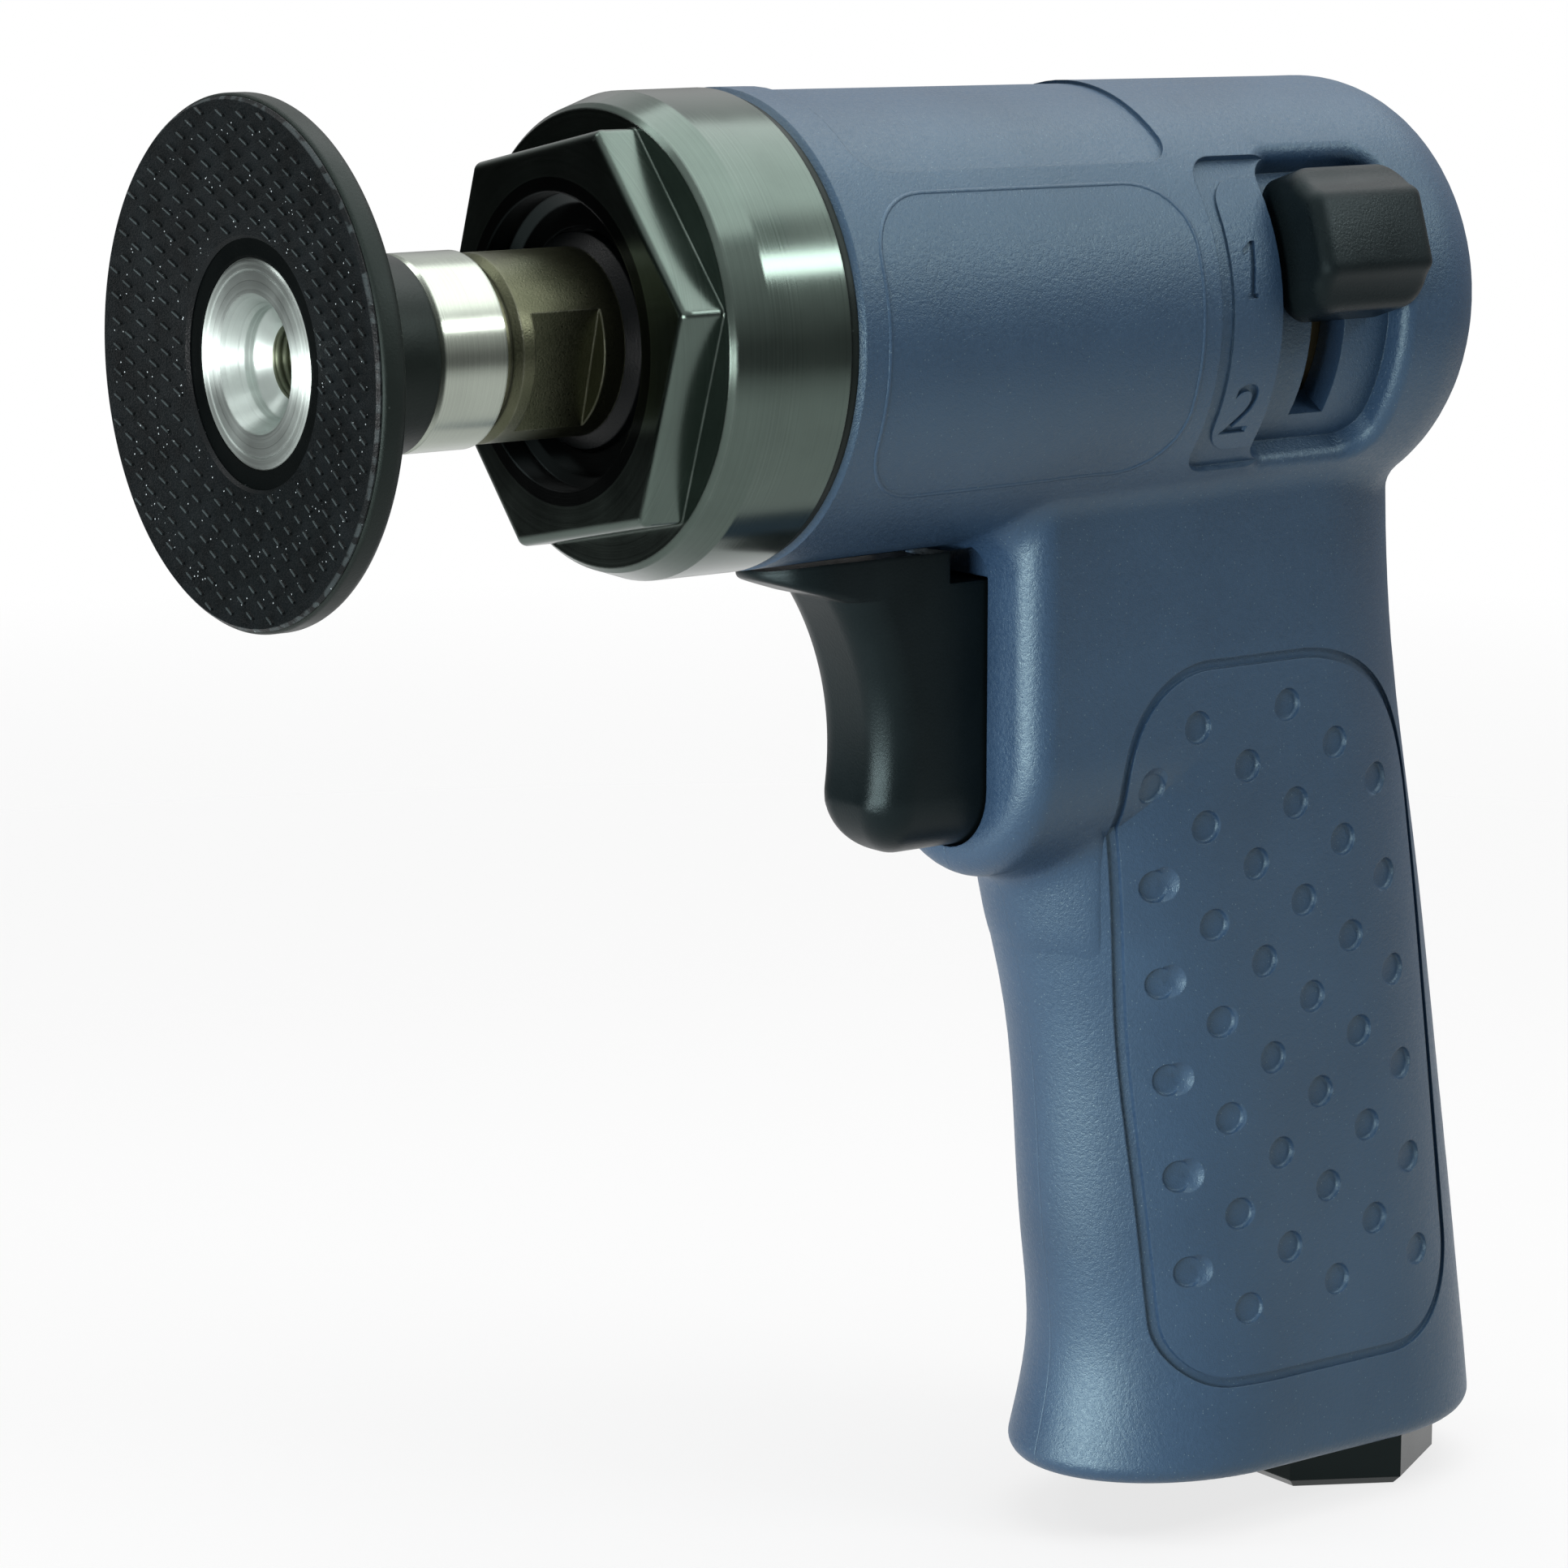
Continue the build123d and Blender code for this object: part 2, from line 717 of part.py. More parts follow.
# Conical spring washer between the motor and the step of the housing bore
with BuildPart() as preload_washer:
    with BuildSketch(Plane.XZ):
        with BuildLine():
            Polyline(
                (washer_x, motor_radius),
                (washer_x + washer_sheet, motor_radius),
                (bore_step_x, valve_bore_radius),
                (bore_step_x - washer_sheet, valve_bore_radius),
                close=True,
            )
        make_face()
    revolve(axis=Axis.X)
preload_washer.part.label = "preload_washer"

# Cutters for the channel of the selector, the strip beside it and the panel on top
channel_half = knob_length / 2 + channel_side_gap
with BuildPart() as channel_cut:
    with BuildSketch(sector_plane(channel_end)):
        with Locations((selector_x, channel_radius + barrel_radius / 2)):
            Rectangle(2 * channel_half, barrel_radius)
    revolve(axis=Axis.X, revolution_arc=2 * channel_end)
    radial_edges = edges().filter_by(GeomType.LINE).filter_by(Axis.X, reverse=True)
    fillet(radial_edges, radius=channel_corner)

channel_x = selector_x - channel_half
strip_x = channel_x - strip_length
strip_end_x = channel_x + channel_corner + past
field_x = strip_x + strip_border
field_end = channel_end - degrees(strip_border / channel_radius)
with BuildPart() as strip_cut:
    add(barrel_cut(strip_x, strip_end_x, strip_depth, channel_end, 2 * channel_end))
    add(barrel_cut(field_x, strip_end_x, strip_depth, field_end, 2 * field_end), mode=Mode.SUBTRACT)
    add(barrel_cut(field_x, strip_end_x, strip_depth - strip_rise, field_end, 2 * field_end))
panel_x = seam_x + top_panel_start
top_panel_cut = barrel_cut(
    panel_x, strip_x - top_panel_gap, top_panel_depth, 90 + top_panel_arc / 2, top_panel_arc
)


# Solid of the grip, drawn in by an even depth to leave the floor of a groove
def grip_loft(inset):
    with BuildPart() as grip:
        for z, front, rear, half in grip_stations:
            near_x = front + grip_front_round
            far_x = rear - grip_rear_round
            depth = half - inset
            with BuildSketch(Plane.XY.offset(z)):
                with BuildLine():
                    EllipticalCenterArc(
                        (near_x, 0), grip_front_round - inset, depth, start_angle=90, arc_size=180
                    )
                    Line((near_x, -depth), (far_x, -depth))
                    EllipticalCenterArc(
                        (far_x, 0), grip_rear_round - inset, depth, start_angle=-90, arc_size=180
                    )
                    Line((far_x, depth), (near_x, depth))
                make_face()
        loft()
    return grip.part


grip_solid = grip_loft(0)
grip_core = grip_loft(panel_depth)


# Deep U of housing that goes round the trigger, drawn in the same way
def rim_block(inset):
    rim_centre_z = rim_bottom_z + rim_half_width
    with BuildPart() as rim:
        with BuildSketch(Plane.YZ.offset(rim_x)):
            with Locations((0, rim_centre_z)):
                Circle(rim_half_width - inset)
            with Locations((0, rim_centre_z / 2)):
                Rectangle(2 * (rim_half_width - inset), -rim_centre_z)
        extrude(amount=rim_length)
    return rim.part


with BuildPart() as trigger_rim:
    add(rim_block(0))
    rim_front = faces().sort_by(Axis.X)[0]
    fillet(rim_front.edges().filter_by(lambda edge: edge.center().Z < -past), radius=rim_round)

# Groove round the grip panel, cut to an even depth below the side
with BuildSketch(Plane.XZ) as panel_outline:
    with BuildLine():
        panel_points = [(rim_x + x, -share * grip_length) for x, share in panel_corners]
        FilletPolyline(*panel_points, radius=panel_rounds, close=True)
    make_face()

with BuildPart() as panel_cut:
    with BuildSketch(Plane.XZ):
        add(panel_outline.sketch_local)
        offset(amount=-panel_groove, mode=Mode.SUBTRACT)
    extrude(amount=2 * grip_half_width, both=True)
    add(grip_core, mode=Mode.SUBTRACT)
    add(rim_block(panel_depth), mode=Mode.SUBTRACT)

# Dimples inside both panels, as shallow caps
with BuildSketch(Plane.XZ) as dimple_field:
    add(panel_outline.sketch_local)
    offset(amount=-dimple_margin, mode=Mode.REPLACE)

with BuildPart() as dimple_cut:
    dimple_ball = (dimple_radius**2 + dimple_depth**2) / (2 * dimple_depth)
    lattice = range(-dimple_reach, dimple_reach + 1)
    for column, row in [(column, row) for column in lattice for row in lattice]:
        x = rim_x + dimple_start[0] + column * dimple_column[0] + row * dimple_row[0]
        z = dimple_start[1] + column * dimple_column[1] + row * dimple_row[1]
        inside = dimple_field.sketch_local.face().is_inside((x, z, 0))
        if inside and z > dimple_foot - panel_bottom * grip_length:
            y = grip_side(x, z) + dimple_ball - dimple_depth
            with Locations((x, -y, z), (x, y, z)):
                Sphere(dimple_ball)

pocket_half = trigger_half_width + pocket_gap
pocket_bottom_z = trigger_bottom_z - pocket_gap
pocket_top_z = trigger_top_z - step_height + pocket_gap

# Housing: barrel, lofted grip and the rim, then the bores and pockets
with BuildPart() as housing:
    with BuildSketch(Plane.XZ):
        with BuildLine():
            Polyline(
                (barrel_end_x, barrel_rear_radius - barrel_round),
                (barrel_end_x, 0),
                (seam_x, 0),
                (seam_x, barrel_radius - mouth_edge),
                (seam_x + mouth_edge, barrel_at(seam_x + mouth_edge)),
                (dome_x, barrel_at(dome_x)),
            )
            TangentArc(
                (dome_x, barrel_at(dome_x)),
                (barrel_end_x, barrel_rear_radius - barrel_round),
                tangent=(barrel_length, barrel_rear_radius - barrel_radius),
            )
        make_face()
    revolve(axis=Axis.X)
    add(grip_solid)
    add(trigger_rim.part)
    junction = edges().filter_by(
        lambda edge: edge.bounding_box().max.Z < -barrel_round / 2
        and edge.bounding_box().min.Z > -barrel_radius - rim_round / 2
    )
    fillet(junction, radius=junction_round)
    bottom_edges = faces().sort_by(Axis.Z)[0].edges()
    fillet(bottom_edges, radius=grip_edge)
    # bores of the nut thread, the motor and the regulator
    with BuildSketch(Plane.XZ):
        with BuildLine():
            Polyline(
                (seam_x - past, 0),
                (seam_x - past, nut_thread_radius + press_gap),
                (nut_end_x + mouth_depth, nut_thread_radius + press_gap),
                (nut_end_x + mouth_depth, motor_radius + running_gap),
                (bore_step_x, motor_radius + running_gap),
                (bore_step_x, valve_bore_radius),
                (valve_bore_end_x, valve_bore_radius),
                (valve_bore_end_x, 0),
                close=True,
            )
        make_face()
    revolve(axis=Axis.X, mode=Mode.SUBTRACT)
    # pocket of the trigger and, in front of the rim, the way of its tongue under the barrel
    with BuildSketch(Plane.YZ.offset(rim_x - past)):
        with Locations((0, pocket_bottom_z + pocket_half)):
            Circle(pocket_half)
        with Locations((0, (pocket_bottom_z + pocket_half + pocket_top_z) / 2)):
            Rectangle(2 * pocket_half, pocket_top_z - pocket_bottom_z - pocket_half)
    extrude(amount=pocket_x - rim_x + past, mode=Mode.SUBTRACT)
    with BuildSketch(Plane.YZ.offset(rim_x - junction_round - past)):
        with Locations((0, pocket_top_z / 2)):
            Rectangle(2 * pocket_half, -pocket_top_z)
        Circle(barrel_radius + trigger_top_gap / 2, mode=Mode.SUBTRACT)
    extrude(amount=junction_round + past, mode=Mode.SUBTRACT)
    # throttle bore behind the pocket, feed up to the regulator and duct down to the inlet
    with BuildSketch(Plane.YZ.offset(pocket_x)):
        with Locations((0, throttle_z)):
            Circle(bushing_radius + press_gap)
    extrude(amount=spring_end_x - pocket_x, mode=Mode.SUBTRACT)
    with BuildSketch(Plane.XY.offset(throttle_z)):
        with Locations((feed_x, 0)):
            Circle(feed_radius)
    extrude(amount=-throttle_z - valve_ring_bore, mode=Mode.SUBTRACT)
    with BuildSketch(Plane.XY.offset(spigot_top_z)):
        with Locations((spring_end_x, 0)):
            Circle(inlet_duct_radius)
    extrude(amount=throttle_z - spigot_top_z, mode=Mode.SUBTRACT)
    with BuildSketch(Plane.XY.offset(grip_floor_z)):
        with Locations((inlet_x, 0)):
            Circle(inlet_spigot_radius + press_gap)
    extrude(amount=inlet_spigot_length + inlet_plenum, mode=Mode.SUBTRACT)
    # muffler chamber, and from the motor a channel and a leaning duct on each side that lead to it
    with BuildSketch(Plane.XY.offset(grip_floor_z)):
        with Locations((muffler_x, 0)):
            RectangleRounded(muffler_length, 2 * muffler_half_width, muffler_corner)
    extrude(amount=muffler_height, mode=Mode.SUBTRACT)
    duct_end = Vector(muffler_x - muffler_length / 2 + muffler_corner, 0, muffler_top_z - past)
    duct_start = Vector(exhaust_x, 0, -sqrt(motor_radius**2 - exhaust_side**2))
    for side in (-exhaust_side, exhaust_side):
        with BuildSketch(Plane(duct_end + Vector(0, side, 0), z_dir=duct_start - duct_end)):
            Circle(port_radius)
        extrude(amount=(duct_start - duct_end).length, mode=Mode.SUBTRACT)
    for side in (-exhaust_turn, 180 + exhaust_turn):
        with BuildSketch(radial_plane(side, valve_ring_radius)):
            with Locations(((cylinder_x + exhaust_x + port_radius) / 2, 0)):
                Rectangle(exhaust_x + port_radius - cylinder_x, 2 * port_radius)
        extrude(amount=motor_radius + port_radius - valve_ring_radius, mode=Mode.SUBTRACT)
    # channel of the selector with its soft mouth and its slot, and the shallow panels
    uncut = edges()
    add(channel_cut.part, mode=Mode.SUBTRACT)
    mouth = (edges() - uncut).filter_by(
        lambda edge: min(hypot(end.Y, end.Z) for end in edge.vertices()) > channel_radius + channel_depth / 2
    )
    fillet(mouth, radius=channel_round)
    add(strip_cut.part, mode=Mode.SUBTRACT)
    add(top_panel_cut, mode=Mode.SUBTRACT)
    with BuildSketch(sector_plane(slot_end)):
        with Locations((selector_x, (valve_ring_bore + barrel_radius) / 2)):
            Rectangle(stem_length + 2 * slot_gap, barrel_radius - valve_ring_bore)
    revolve(axis=Axis.X, revolution_arc=slot_end - slot_start, mode=Mode.SUBTRACT)
    # grip panels on both sides
    add(panel_cut.part, mode=Mode.SUBTRACT)
    add(dimple_cut.part, mode=Mode.SUBTRACT)
housing.part.label = "housing"

# Trigger: finger body with rounded front, saddle tongue under the barrel and a socket for the rod
finger_top_x = trigger_tip_x + tongue_run
finger_top_z = trigger_top_z - tongue_thick
saddle_top_z = -sqrt(saddle_radius**2 - trigger_half_width**2)
toe_z = trigger_bottom_z + toe_round
step_z = trigger_top_z - step_height
with BuildPart() as finger_body:
    with BuildSketch(Plane.YZ.offset(trigger_tip_x)):
        with Locations((0, trigger_bottom_z + trigger_half_width)):
            Circle(trigger_half_width)
        with Locations((0, (trigger_bottom_z + trigger_half_width + saddle_top_z) / 2)):
            Rectangle(2 * trigger_half_width, saddle_top_z - trigger_bottom_z - trigger_half_width)
    extrude(amount=trigger_heel_x - trigger_tip_x)
    with BuildSketch(Plane.XZ):
        with BuildLine():
            ThreePointArc(
                (finger_top_x, finger_top_z),
                ((finger_top_x + finger_x) / 2 + finger_hollow, (finger_top_z + toe_z) / 2),
                (finger_x, toe_z),
            )
            RadiusArc((finger_x, toe_z), (finger_x + toe_round, trigger_bottom_z), -toe_round)
            Polyline(
                (finger_x + toe_round, trigger_bottom_z),
                (trigger_heel_x, trigger_bottom_z),
                (trigger_heel_x, step_z),
                (step_x, step_z),
                (step_x, saddle_top_z),
                (finger_top_x, saddle_top_z),
                (finger_top_x, finger_top_z),
            )
        make_face()
    extrude(amount=2 * trigger_half_width, both=True, mode=Mode.INTERSECT)

with BuildPart() as trigger_tongue:
    with BuildSketch(Plane.XY.offset(saddle_top_z)):
        with Locations((trigger_tip_x + trigger_half_width, 0)):
            Circle(trigger_half_width)
        with Locations(((trigger_tip_x + trigger_half_width + step_x) / 2, 0)):
            Rectangle(step_x - trigger_tip_x - trigger_half_width, 2 * trigger_half_width)
    extrude(amount=finger_top_z - saddle_top_z)
    with BuildSketch(Plane.XZ):
        with BuildLine():
            Polyline(
                (trigger_tip_x, saddle_top_z),
                (trigger_tip_x, trigger_top_z - tongue_thin),
                (finger_top_x, finger_top_z),
                (step_x, finger_top_z),
                (step_x, saddle_top_z),
                close=True,
            )
        make_face()
    extrude(amount=2 * trigger_half_width, both=True, mode=Mode.INTERSECT)

with BuildPart() as trigger:
    add(finger_body.part)
    front_edges = edges().filter_by(
        lambda edge: edge.center().X < finger_x + toe_round and edge.center().Z < finger_top_z - past
    )
    fillet(front_edges.filter_by(lambda edge: abs(edge.center().Y) > past), radius=trigger_round)
    add(trigger_tongue.part)
    with BuildSketch(Plane.YZ.offset(trigger_tip_x - past)):
        Circle(saddle_radius)
    extrude(amount=step_x - trigger_tip_x + 2 * past, mode=Mode.SUBTRACT)
    fillet(edges().filter_by(GeomType.ELLIPSE), radius=lip_round)
    with BuildSketch(Plane.YZ.offset(trigger_heel_x - rod_socket)):
        with Locations((0, throttle_z)):
            Circle(rod_radius + press_gap)
    extrude(amount=rod_socket, mode=Mode.SUBTRACT)
trigger.part.label = "trigger"

# Throttle: rod, bushing with its seat, valve and spring on one axis behind the trigger
throttle_axis = Axis((0, 0, throttle_z), (1, 0, 0))
throttle_plane = Plane((0, 0, throttle_z), x_dir=(1, 0, 0), z_dir=(0, -1, 0))
with BuildPart() as trigger_rod:
    with BuildSketch(Plane.YZ.offset(trigger_heel_x - rod_socket)):
        with Locations((0, throttle_z)):
            Circle(rod_radius)
    extrude(amount=seat_x - trigger_heel_x + rod_socket)
trigger_rod.part.label = "trigger_rod"

with BuildPart() as throttle_bushing:
    with BuildSketch(throttle_plane):
        with BuildLine():
            Polyline(
                (pocket_x, rod_radius + running_gap),
                (pocket_x, bushing_radius),
                (seat_x, bushing_radius),
                (seat_x, seat_radius),
                (seat_x - seat_length, seat_radius),
                (seat_x - seat_length, bushing_chamber_radius),
                (chamber_x, bushing_chamber_radius),
                (chamber_x, rod_radius + running_gap),
                close=True,
            )
        make_face()
    revolve(axis=throttle_axis)
    with BuildSketch(Plane.XY.offset(throttle_z)):
        with Locations((feed_x, 0)):
            Circle(feed_radius)
    extrude(amount=bushing_radius + past, mode=Mode.SUBTRACT)
throttle_bushing.part.label = "throttle_bushing"

with BuildPart() as throttle_valve:
    with BuildSketch(throttle_plane):
        with BuildLine():
            Polyline(
                (seat_x, 0),
                (seat_x, valve_radius),
                (valve_end_x, valve_radius),
                (valve_end_x, valve_stem_radius),
                (valve_end_x + valve_stem_length, valve_stem_radius),
                (valve_end_x + valve_stem_length, 0),
                close=True,
            )
        make_face()
    revolve(axis=throttle_axis)
throttle_valve.part.label = "throttle_valve"

# Coil of the spring, laid out in quarter turns of two arcs each
coil_start = valve_end_x + spring_wire + running_gap
coil_pitch = (spring_end_x - spring_wire - running_gap - coil_start) / spring_turns


def coil_point(quarter):
    turn = quarter * pi / 2
    return Vector(
        coil_start + coil_pitch * quarter / 4,
        spring_radius * cos(turn),
        throttle_z + spring_radius * sin(turn),
    )


def coil_heading(quarter):
    turn = quarter * pi / 2
    return Vector(
        coil_pitch / (2 * pi), -spring_radius * sin(turn), spring_radius * cos(turn)
    ).normalized()


with BuildPart() as throttle_spring:
    with BuildLine() as coil:
        for quarter in range(4 * spring_turns):
            start, end = coil_point(quarter), coil_point(quarter + 1)
            heading, leaving = coil_heading(quarter), coil_heading(quarter + 1)
            span = end - start
            both = heading + leaving
            bend = 2 * (1 - heading.dot(leaving))
            reach = (sqrt(span.dot(both) ** 2 + bend * span.dot(span)) - span.dot(both)) / bend
            middle = (start + end + (heading - leaving) * reach) * 0.5
            TangentArc(start, middle, tangent=heading)
            TangentArc(middle, end, tangent=(middle - start - heading * reach))
    with BuildSketch(Plane(coil_point(0), z_dir=coil_heading(0))):
        Circle(spring_wire)
    sweep(path=coil.wires()[0])
throttle_spring.part.label = "throttle_spring"
print("gap between the coils of the throttle spring", round(coil_pitch - 2 * spring_wire, 2))

# Selector: knob in the channel, rotary regulator inside and its seal
knob_floor = channel_radius + moving_gap
stem_foot = valve_ring_bore + (valve_ring_radius - valve_ring_bore) / 4
rest = radians(selector_rest)
with BuildPart() as selector_knob:
    with BuildSketch(radial_plane(selector_rest, knob_floor)):
        with Locations((selector_x, 0)):
            RectangleRounded(knob_length, knob_height, knob_corner)
    extrude(amount=knob_radius - knob_floor)
    for way in (1, -1):
        along = way * (knob_height / 2 + knob_scoop / 3)
        out = knob_radius + knob_scoop - knob_scoop_depth - knob_edge
        scoop_centre = (
            selector_x - knob_length,
            along * sin(rest) - out * cos(rest),
            along * cos(rest) + out * sin(rest),
        )
        with BuildSketch(Plane(scoop_centre, z_dir=(1, 0, 0))):
            Circle(knob_scoop)
        extrude(amount=2 * knob_length, mode=Mode.SUBTRACT)
    outer_edges = edges().filter_by(
        lambda edge: edge.center().Z * sin(rest) - edge.center().Y * cos(rest) > knob_floor + knob_round
    )
    fillet(outer_edges, radius=knob_round)
    with BuildSketch(radial_plane(selector_rest, stem_foot)):
        with Locations((selector_x, 0)):
            Rectangle(stem_length, stem_width)
    extrude(amount=knob_floor - stem_foot)
selector_knob.part.label = "selector_knob"

o_ring_x = valve_ring_x + valve_ring_length - o_ring_inset
o_ring_circle = valve_bore_radius - running_gap - o_ring_wire
with BuildPart() as selector_valve:
    with BuildSketch(Plane.YZ.offset(valve_ring_x)):
        Circle(valve_ring_radius)
        Circle(valve_ring_bore, mode=Mode.SUBTRACT)
    extrude(amount=valve_ring_length)
    with BuildSketch(radial_plane(selector_rest, stem_foot)):
        with Locations((selector_x, 0)):
            Rectangle(stem_length + 2 * press_gap, stem_width + 2 * press_gap)
    extrude(amount=valve_ring_radius, mode=Mode.SUBTRACT)
    with BuildSketch(Plane.XZ):
        with Locations((o_ring_x, valve_ring_radius)):
            Rectangle(2 * (o_ring_wire + running_gap), 2 * (valve_ring_radius - o_ring_circle + o_ring_wire))
    revolve(axis=Axis.X, mode=Mode.SUBTRACT)
    for turn, hole in ((-90, feed_radius / 2), (selector_sweep - 90, feed_radius)):
        with BuildSketch(radial_plane(turn, 0)):
            with Locations((feed_x, 0)):
                Circle(hole)
        extrude(amount=valve_ring_radius + past, mode=Mode.SUBTRACT)
selector_valve.part.label = "selector_valve"

with BuildPart() as selector_o_ring:
    with BuildSketch(Plane.XZ):
        with Locations((o_ring_x, o_ring_circle)):
            Circle(o_ring_wire)
    revolve(axis=Axis.X)
selector_o_ring.part.label = "selector_o_ring"

# Inlet: hexagon bushing with a pipe thread, its washer and a strainer
thread_top_z = inlet_face_z + inlet_thread_depth
with BuildPart() as inlet_bushing:
    with BuildSketch(Plane.XY.offset(inlet_face_z)):
        with Locations((inlet_x, 0)):
            RegularPolygon(inlet_hex_width / 2, 6, major_radius=False, rotation=inlet_hex_turn)
    extrude(amount=inlet_hex_length)
    chamfer(faces().sort_by(Axis.Z)[0].edges(), inlet_edge)
    with BuildSketch(Plane.XY.offset(inlet_hex_z)):
        with Locations((inlet_x, 0)):
            Circle(inlet_spigot_radius)
    extrude(amount=spigot_top_z - inlet_hex_z)
    with BuildSketch(Plane.XY.offset(inlet_face_z)):
        with Locations((inlet_x, 0)):
            Circle(inlet_thread_radius)
    extrude(amount=inlet_thread_depth, mode=Mode.SUBTRACT)
    with BuildSketch(Plane.XY.offset(thread_top_z)):
        with Locations((inlet_x, 0)):
            Circle(screen_bore_radius)
    extrude(amount=spigot_top_z - thread_top_z, mode=Mode.SUBTRACT)
inlet_bushing.part.label = "inlet_bushing"

with BuildPart() as inlet_seal:
    with BuildSketch(Plane.XY.offset(inlet_hex_z)):
        with Locations((inlet_x, 0)):
            Circle(inlet_seal_radius)
            Circle(inlet_spigot_radius + press_gap, mode=Mode.SUBTRACT)
    extrude(amount=inlet_seal_thickness)
inlet_seal.part.label = "inlet_seal"

with BuildPart() as inlet_screen:
    with BuildSketch(Plane.XY.offset(thread_top_z)):
        with Locations((inlet_x, 0)):
            Circle(screen_bore_radius - press_gap)
    extrude(amount=screen_length)
    with BuildSketch(Plane.XY.offset(thread_top_z)):
        with Locations((inlet_x, 0)):
            Circle(screen_bore_radius - press_gap - screen_sheet)
    extrude(amount=screen_length - screen_sheet, mode=Mode.SUBTRACT)
    with BuildSketch(Plane.XY.offset(thread_top_z)):
        with Locations((inlet_x, 0)):
            Circle(screen_hole_radius)
            with PolarLocations(screen_hole_circle, screen_hole_count):
                Circle(screen_hole_radius)
    extrude(amount=screen_length, mode=Mode.SUBTRACT)
inlet_screen.part.label = "inlet_screen"

# Exhaust: felt muffler in the grip and the slotted cover that closes it
cover_top_z = grip_floor_z + cover_thickness
with BuildPart() as muffler:
    with BuildSketch(Plane.XY.offset(cover_top_z)):
        with Locations((muffler_x, 0)):
            RectangleRounded(
                muffler_length - 2 * running_gap, 2 * (muffler_half_width - running_gap), muffler_corner
            )
    extrude(amount=muffler_height - cover_thickness)
muffler.part.label = "muffler"

with BuildPart() as exhaust_cover:
    with BuildSketch(Plane.XY.offset(grip_floor_z)):
        with Locations((muffler_x, 0)):
            RectangleRounded(
                muffler_length - 2 * press_gap, 2 * (muffler_half_width - press_gap), muffler_corner
            )
            with GridLocations(cover_slot_pitch, 1, cover_slot_count, 1):
                SlotOverall(cover_slot_length, cover_slot_width, rotation=90, mode=Mode.SUBTRACT)
    extrude(amount=cover_thickness)
exhaust_cover.part.label = "exhaust_cover"

pieces = [pad_facing, backing_pad, pad_hub, pad_ring, spindle, clamp_nut, dust_seal, nose_gasket]
pieces += [front_end_plate, rear_end_plate, motor_cylinder, motor_dowel, rotor, preload_washer, housing]
pieces += [trigger, trigger_rod, throttle_bushing, throttle_valve, throttle_spring]
pieces += [selector_knob, selector_valve, selector_o_ring]
pieces += [inlet_bushing, inlet_seal, inlet_screen, muffler, exhaust_cover]
for piece in pieces:
    export_step(piece.part, "parts/" + piece.part.label + ".step")
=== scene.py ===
import json
import math

import bmesh
import bpy
from mathutils import Matrix, Vector
from mathutils.bvhtree import BVHTree


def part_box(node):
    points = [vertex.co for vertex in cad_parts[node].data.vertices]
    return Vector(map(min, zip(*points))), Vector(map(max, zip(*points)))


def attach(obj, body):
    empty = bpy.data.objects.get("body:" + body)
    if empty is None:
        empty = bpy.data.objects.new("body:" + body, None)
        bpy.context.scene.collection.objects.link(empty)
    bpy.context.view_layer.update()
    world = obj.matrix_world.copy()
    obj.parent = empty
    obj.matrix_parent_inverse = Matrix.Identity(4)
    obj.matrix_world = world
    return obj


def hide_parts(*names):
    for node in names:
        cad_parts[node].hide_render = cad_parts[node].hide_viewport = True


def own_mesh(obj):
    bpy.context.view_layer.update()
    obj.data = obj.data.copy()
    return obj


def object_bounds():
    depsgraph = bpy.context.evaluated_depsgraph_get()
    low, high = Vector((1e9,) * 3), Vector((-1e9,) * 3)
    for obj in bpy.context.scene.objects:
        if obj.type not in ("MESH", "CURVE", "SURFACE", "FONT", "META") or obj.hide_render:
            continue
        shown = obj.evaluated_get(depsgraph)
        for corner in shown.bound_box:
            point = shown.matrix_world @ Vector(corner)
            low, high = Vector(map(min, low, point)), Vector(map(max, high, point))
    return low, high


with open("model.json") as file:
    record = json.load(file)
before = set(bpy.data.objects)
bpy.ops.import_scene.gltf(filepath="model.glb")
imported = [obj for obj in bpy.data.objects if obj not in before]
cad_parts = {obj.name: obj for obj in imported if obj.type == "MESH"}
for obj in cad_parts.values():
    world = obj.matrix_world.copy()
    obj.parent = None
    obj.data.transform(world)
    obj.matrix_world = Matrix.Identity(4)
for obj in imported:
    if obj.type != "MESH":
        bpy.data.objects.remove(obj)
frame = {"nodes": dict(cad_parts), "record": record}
cadLow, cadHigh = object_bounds()
nodes = frame["nodes"]
mm = 0.001
joinGap = 0.001 * mm

# The gripping face sinks evenly from its rim to the well of the hub
dish = {"depth": 1.8 * mm, "well": 12.0 * mm, "rim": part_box("pad_facing")[1].z}
print("frame loaded")


# Small helpers for node trees
def newLook(name):
    material = bpy.data.materials.new(name)
    material.use_nodes = True
    tree = material.node_tree
    return material, tree, tree.nodes["Principled BSDF"]


# Links a socket to another one, or sets it to a plain value
def plug(tree, socket, value):
    if isinstance(value, bpy.types.NodeSocket):
        tree.links.new(value, socket)
    else:
        socket.default_value = value


def put(tree, kind, inputs=None, **settings):
    node = tree.nodes.new(kind)
    for key, value in settings.items():
        setattr(node, key, value)
    for key, value in (inputs or {}).items():
        plug(tree, node.inputs[key], value)
    return node


def feed(tree, shader, **inputs):
    for key, value in inputs.items():
        plug(tree, shader.inputs[key.replace("_", " ")], value)


def objectPoint(tree):
    return put(tree, "ShaderNodeTexCoord").outputs["Object"]


def coordinate(tree, point, axis):
    return put(tree, "ShaderNodeSeparateXYZ", {0: point}).outputs[axis]


def grain(tree, point, size, detail=2.0, roughness=0.5):
    settings = {"Vector": point, "Scale": 1 / size, "Detail": detail, "Roughness": roughness}
    return put(tree, "ShaderNodeTexNoise", settings).outputs["Fac"]


